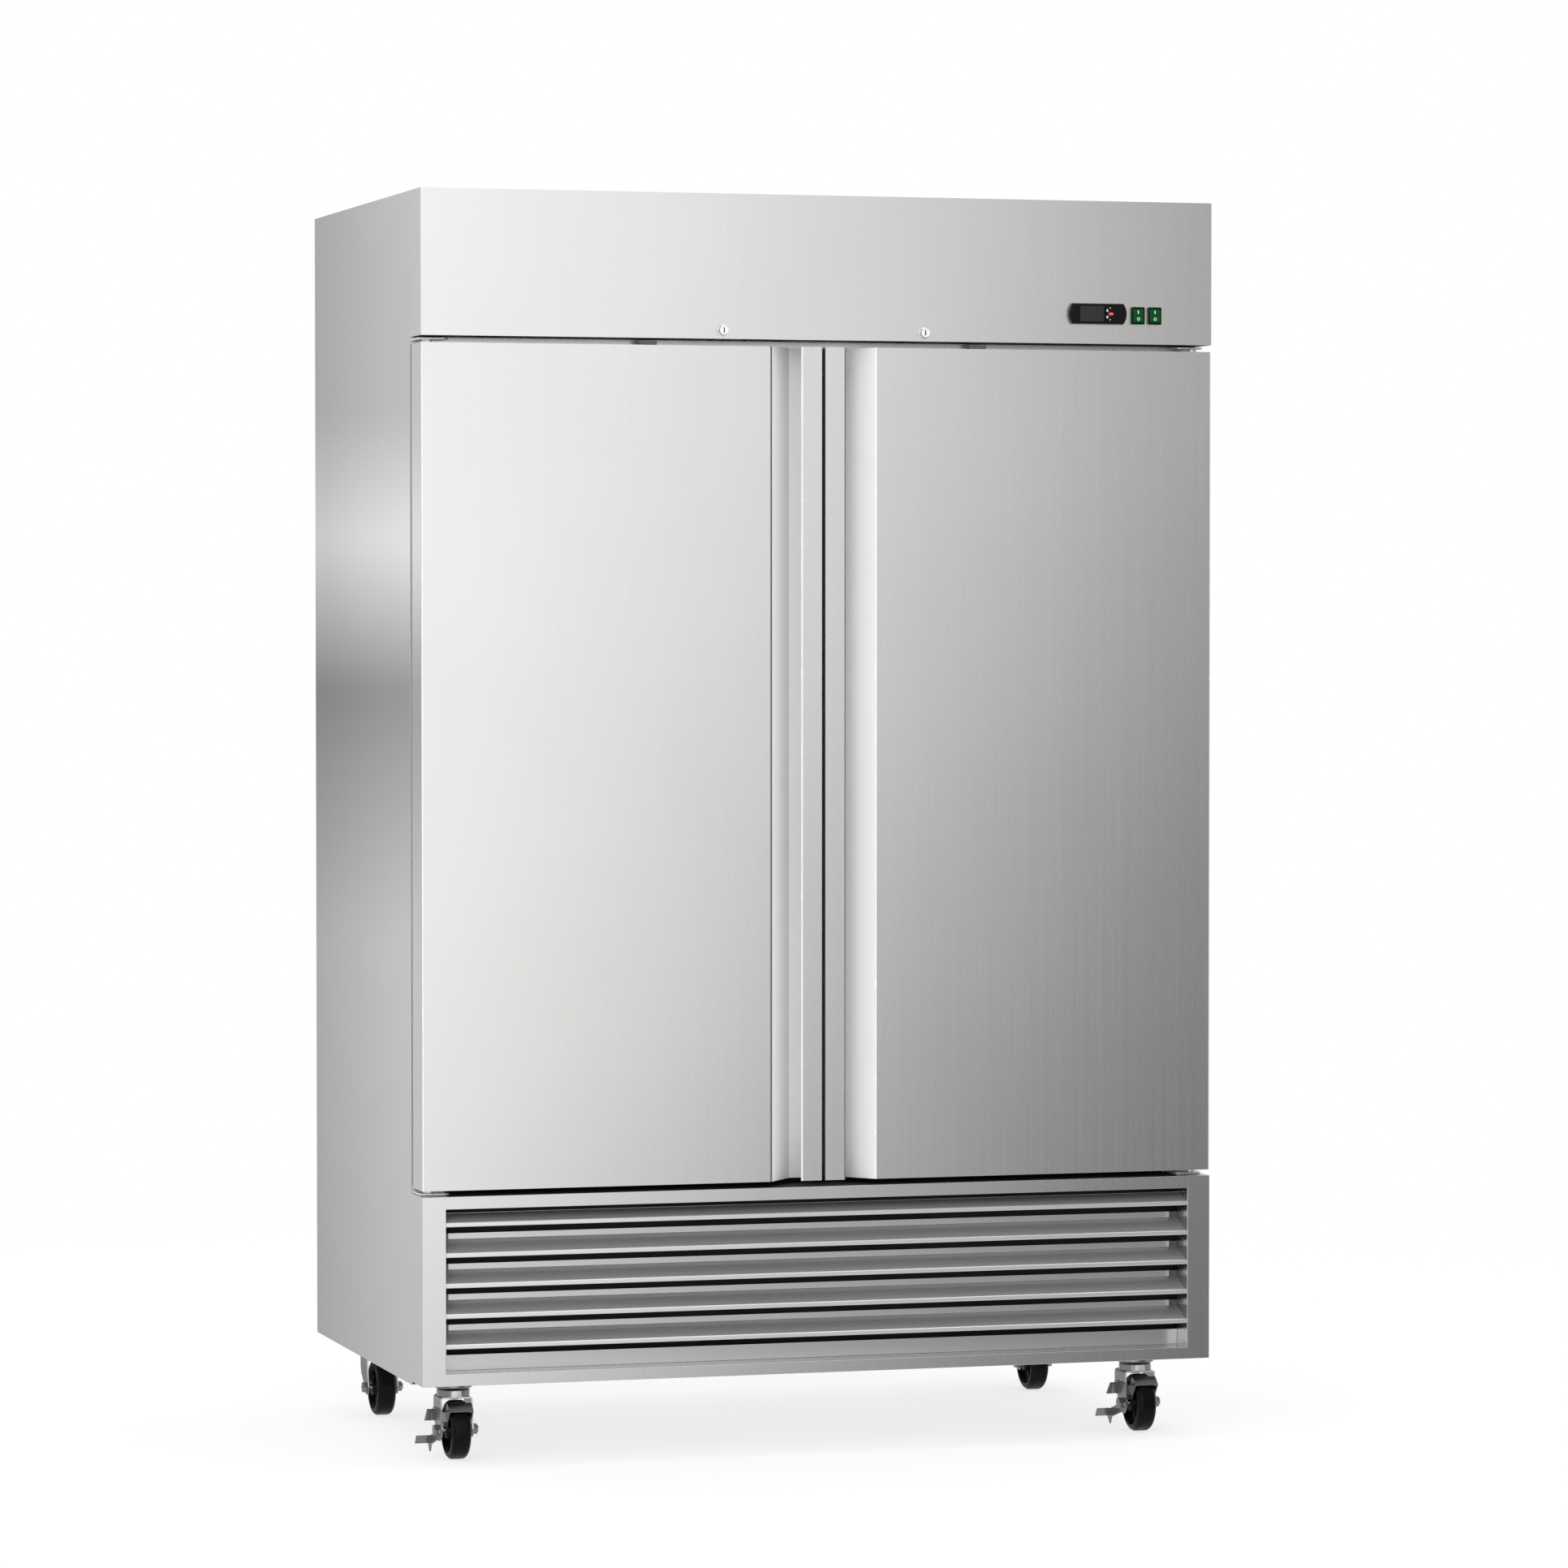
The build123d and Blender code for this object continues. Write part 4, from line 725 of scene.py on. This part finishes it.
# ---- grille -------------------------------------------------------------------------------
def make_louvres():
    """Folded blades with soft bends, the plate under them, end tabs painted dark as shade and a black sheet
    behind that paints the shade inside.
    """
    low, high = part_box("grille_louvers")
    left, right = low.x, high.x
    lips = [BASE_Z + BLADE_TOP - BLADE_PITCH * k for k in range(BLADES)]
    deep = FRONT_Y + BLADE_DEEP
    pieces = []
    for k, lip in enumerate(lips):
        back = deep if k else FRONT_Y + TOP_BLADE_DEEP
        top = lip + (0.0356 if k else 0.0204)
        bend = lip + (0.0250 if k else 0.0192)
        outline = [(back + 0.0012, top), (back, top), (back, bend + 0.0008), (FRONT_Y + 0.0056, lip + 0.0078),
                   (FRONT_Y + 0.0043, lip + 0.0066), (FRONT_Y + 0.0043, lip + 0.0010),
                   (FRONT_Y + 0.0054, lip), (FRONT_Y + 0.0082, lip), (FRONT_Y + 0.0082, lip + 0.0064),
                   (back + 0.0012, bend)]
        radii = [0, 0, 0.0016, 0.0012, 0.0009, 0.0009, 0.0009, 0.0004, 0.0008, 0.0016]
        pieces.append(extruded("blade", rounded(outline, radii), "x", left, right))
    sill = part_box("grille_frame")[0].z + 0.0197
    pieces.append(box_piece("plate", (left, deep, sill + 0.0003), (right, deep + 0.0012, lips[-1] - 0.0147)))
    blades = joined("grille_blades", pieces)
    finish_piece(blades, "cabinet", BRIGHT_STEEL, ("grille_louvers",), 0.0, angle=28)
    tabs = []
    for lip in lips[1:]:
        for side in (-1, 1):
            xs = sorted((side * TAB_X, side * (right - 0.0002)))
            tabs.append(box_piece("tab", (xs[0], deep - 0.0013, lip + 0.0262),
                                  (xs[1], deep + 0.0002, lip + 0.0356)))
    ends = joined("grille_end_tabs", tabs)
    # the tabs take the dark steel copy: painted shade
    finish_piece(ends, "cabinet", TAB_PAINTED_SHADE, (), 0.0003)
    # a black sheet at the air filter's place paints the shade inside the grille
    low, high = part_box("air_filter")
    mat = box_piece("shade_sheet_behind_louvres", low, high)
    finish_piece(mat, "cabinet", PAINTED_SHADE_BLACK, ("air_filter",), 0.001)


# ---- header controls ----------------------------------------------------------------------
def triangle(name, x, z, half, y, up, thick=0.0003):
    """A thin arrow that points up or down."""
    s = 1 if up else -1
    outline = [(x - half, z - s * half), (x + half, z - s * half), (x, z + s * half)]
    return extruded(name, outline, "y", y - thick, y + 0.0003)


def oval(name, x, z, a, b, y, lift, steps=32):
    """A low dome with an oval outline, facing the user."""
    bm = bmesh.new()
    rings = []
    for level, scale in ((0.0, 1.0), (0.5, 0.92), (0.85, 0.66), (1.0, 0.3)):
        rings.append([bm.verts.new((x + a * scale * math.cos(2 * math.pi * k / steps), y - lift * level,
                                    z + b * scale * math.sin(2 * math.pi * k / steps)))
                      for k in range(steps)])
    for ring, after in zip(rings, rings[1:]):
        for k in range(steps):
            n = (k + 1) % steps
            bm.faces.new((ring[k], ring[n], after[n], after[k]))
    bm.faces.new(rings[-1])
    bm.faces.new(rings[0][::-1])
    bmesh.ops.recalc_face_normals(bm, faces=bm.faces)
    return add_mesh(name, bm)


def make_controller():
    """Glossy module with swollen ends, a dark window, two keys with arrows and a red lamp."""
    low, high = CONTROL
    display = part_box("controller_display")
    face = low.y
    mid_z = (low.z + high.z) / 2
    half = (high.z - low.z) / 2
    x0, x1 = low.x, high.x
    bulge = 0.006
    r = (half ** 2 + bulge ** 2) / (2 * bulge)
    reach = math.asin(half / r)
    outline = []
    for k in range(13):
        a = -reach + 2 * reach * k / 12
        outline.append((x1 - r + r * math.cos(a), mid_z + r * math.sin(a)))
    for k in range(13):
        a = -reach + 2 * reach * k / 12
        outline.append((x0 + r - r * math.cos(a), mid_z - r * math.sin(a)))
    bm = bmesh.new()
    centre = ((x0 + x1) / 2, mid_z)
    steps = ((FRONT_Y, 1.0), (FRONT_Y - 0.0062, 1.0), (FRONT_Y - 0.0078, 0.992),
             (face + 0.0014, 0.968), (face + 0.0003, 0.952), (face, 0.93))
    rings = []
    for y, scale in steps:
        rings.append([bm.verts.new((centre[0] + (x - centre[0]) * (1 - (1 - scale) * 0.5), y,
                                    centre[1] + (z - centre[1]) * scale)) for x, z in outline])
    for ring, after in zip(rings, rings[1:]):
        for k in range(len(outline)):
            n = (k + 1) % len(outline)
            bm.faces.new((ring[k], ring[n], after[n], after[k]))
    bm.faces.new(rings[-1])
    bm.faces.new(rings[0][::-1])
    bmesh.ops.recalc_face_normals(bm, faces=bm.faces)
    bezel = add_mesh("controller_bezel", bm)
    keys = [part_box(f"{n}_button") for n in ("up", "down")]
    pockets = [(k[0] - Vector((0.0003, 0.002, 0.0003)), k[1] + Vector((0.0003, 0.0014, 0.0003)))
               for k in keys]
    cut(bezel, (display[0] - Vector((0.0001, 0.002, 0.0001)), display[1] + Vector((0.0001, 0, 0.0001))),
        *pockets)
    body_x, body_deep, body_z = 0.0355, 0.052, 0.0135
    body = box_piece("controller_body", (centre[0] - body_x, FRONT_Y, mid_z - body_z),
                     (centre[0] + body_x, FRONT_Y + body_deep, mid_z + body_z))
    cut(body, *pockets)
    whole = joined("controller_module", [bezel, body])
    finish_piece(whole, "cabinet", BLACK_GLOSS, ("controller_housing",), 0.0002, angle=24)
    window = box_piece("display_window", display[0], display[1])
    finish_piece(window, "cabinet", WINDOW, ("controller_display",), 0.0005, 3)
    lamp_x, lamp_z = keys[0][1].x + 0.0029, mid_z - 0.0001
    lamp = oval("status_lamp", lamp_x, lamp_z, 0.0043, 0.0021, face, 0.0007)
    finish_piece(lamp, "cabinet", RED_LAMP)
    halo = oval("lamp_bezel", lamp_x, lamp_z, 0.0052, 0.0028, face, 0.0002)
    finish_piece(halo, "cabinet", BLACK)
    for n, (a, b), s in (("up", keys[0], 1), ("down", keys[1], -1)):
        cap = box_piece(f"{n}_key", a, b)
        finish_piece(cap, f"{n}_button", BLACK_GLOSS, (f"{n}_button",), 0.0009, 3)
        mark = triangle(f"{n}_arrow", (a.x + b.x) / 2, (a.z + b.z) / 2, 0.0023, a.y - 0.00005, s > 0)
        finish_piece(mark, f"{n}_button", MARK)
        dot = oval(f"{n}_symbol", (a.x + b.x) / 2 + 0.0054, (a.z + b.z) / 2 + s * 0.0036, 0.0011, 0.0011,
                   face, 0.0003, 12)
        finish_piece(dot, "cabinet", MARK)


def make_switches():
    """Black collars and green rockers with raised marks."""
    frames = refined("switch_frames", BLACK_GLOSS, 0.0004)
    frames.name = "switch_collars"
    for name in ("light", "power"):
        rocker = refined(f"{name}_rocker", GREEN, 0.0005, 3)
        low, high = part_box(f"{name}_rocker")
        x, z = (low.x + high.x) / 2, (low.z + high.z) / 2
        out = low.y
        hits = BVHTree.FromPolygons([v.co.copy() for v in rocker.data.vertices],
                                    [tuple(f.vertices) for f in rocker.data.polygons])

        def laid_on(height):
            """Carries a mark drawn at the origin onto the rocker's face."""
            depths = [hits.ray_cast(Vector((x + 0.0002, out - 0.01, height + d)), Vector((0, 1, 0)))[0].y
                      for d in (-0.001, 0.001)]
            return (Matrix.Translation((x, sum(depths) / 2, height))
                    @ Matrix.Rotation(-math.atan2(depths[1] - depths[0], 0.002), 4, "X"))

        bar = box_piece(f"{name}_on_mark", (-0.0008, -0.0004, -0.0028), (0.0008, 0.0004, 0.0028))
        bar.data.transform(laid_on(z + 0.0060))
        finish_piece(bar, f"{name}_rocker", MARK, (), 0.0001)
        ring = lathe(f"{name}_off_mark", [(-0.0004, 0.0027), (-0.0004, 0.0016), (0.0006, 0.0016),
                                          (0.0006, 0.0027)], "y", (0, 0, 0), 32)
        ring.data.transform(laid_on(z - 0.0055))
        finish_piece(ring, f"{name}_rocker", MARK, (), 0.0001)


def make_locks():
    """Bright collars and key plugs with a dark slot, painted shade on the plugs' sides and a painted
    highlight on their faces. The plugs carry the tongues behind them.
    """
    refined("lock_housings", CHROME, 0.0007, 3)
    for side in ("left", "right"):
        plug = refined(f"{side}_lock_plug", CHROME, 0.0004, 3)
        plug.name = f"{side}_key_plug"
        # plug sides get painted shade, the plug's front face a painted highlight
        shade(plug, PAINTED_EDGE_SHADE, lambda c, n: abs(n.y) < 0.5 and c.y < FRONT_Y - 0.0010)
        shade(plug, PAINTED_HIGHLIGHT, lambda c, n: n.y < -0.9 and c.y < FRONT_Y - 0.0090)
        slot_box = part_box(f"{side}_lock_plug")
        x = slot_box[0].x + 0.0074
        z = (slot_box[0].z + slot_box[1].z) / 2
        slot = box_piece(f"{side}_key_slot", (x - 0.0015, slot_box[0].y + 0.0001, z - 0.0003),
                         (x + 0.0015, slot_box[0].y + 0.0004, z + 0.0020))
        finish_piece(slot, f"{side}_lock_plug", BLACK)


# ---- wheels -------------------------------------------------------------------------------
def make_wheels():
    """Moulded wheels: rounded tread, dished face with ring steps and five spokes."""
    for row in ("front", "rear"):
        for side in ("left", "right"):
            low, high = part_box(f"{row}_{side}_wheel")
            centre = (low + high) / 2
            hub = (high.x - low.x) / 2
            half = hub - 0.0015
            r = (high.z - low.z) / 2
            curve_x, curve_r = half - TREAD_CURVE, r - TREAD_CURVE
            edge = [(curve_x + TREAD_CURVE * math.sin(t), curve_r + TREAD_CURVE * math.cos(t))
                    for t in [math.pi / 2 * k / 8 for k in range(9)]]
            face = [(hub, 0.0051), (hub, 0.0125), (hub - 0.001, 0.0138), (0.0085, 0.0160), (0.0072, 0.0178),
                    (0.0068, 0.0300), (0.0074, 0.0345), (half - 0.0016, 0.0372), (half, 0.0384)]
            tread = [(half * 0.3, r), (half * 0.6, r - 0.0001)]
            profile = tread + edge + face[::-1]
            mirrored = [(-a, b) for a, b in profile[::-1]]
            wheel = lathe(f"{row}_{side}_tread", profile + mirrored, "x", centre, 72)
            spokes = []
            for end in (-1, 1):
                for k in range(SPOKES):
                    turn = Matrix.Rotation(2 * math.pi * k / SPOKES + 0.3, 4, "X")
                    xs = sorted((end * 0.0060, end * 0.0105))
                    spoke = box_piece("spoke", (xs[0], -0.0016, 0.0150), (xs[1], 0.0016, 0.0360))
                    spoke.data.transform(Matrix.Translation(centre) @ turn)
                    spokes.append(spoke)
            piece = joined(f"{row}_{side}_wheel_shape", [wheel, *spokes])
            finish_piece(piece, f"{row}_{side}_wheel", RUBBER, (f"{row}_{side}_wheel",),
                         0.0004, 2, 40)


# ---- screws -------------------------------------------------------------------------------
def make_screws():
    """The panel screws with softened edges."""
    piece = refined("panel_screws", ZINC, 0.0003)
    piece.name = "cross_screws"


# ---- build --------------------------------------------------------------------------------
make_sheet_metal()
make_sill_strip()
make_gaskets()
make_louvres()
make_controller()
make_switches()
make_locks()
make_wheels()
make_screws()
make_camera()
make_floor()
make_light()
CAD_BOX = [list(corner) for corner in CAD_BOX]
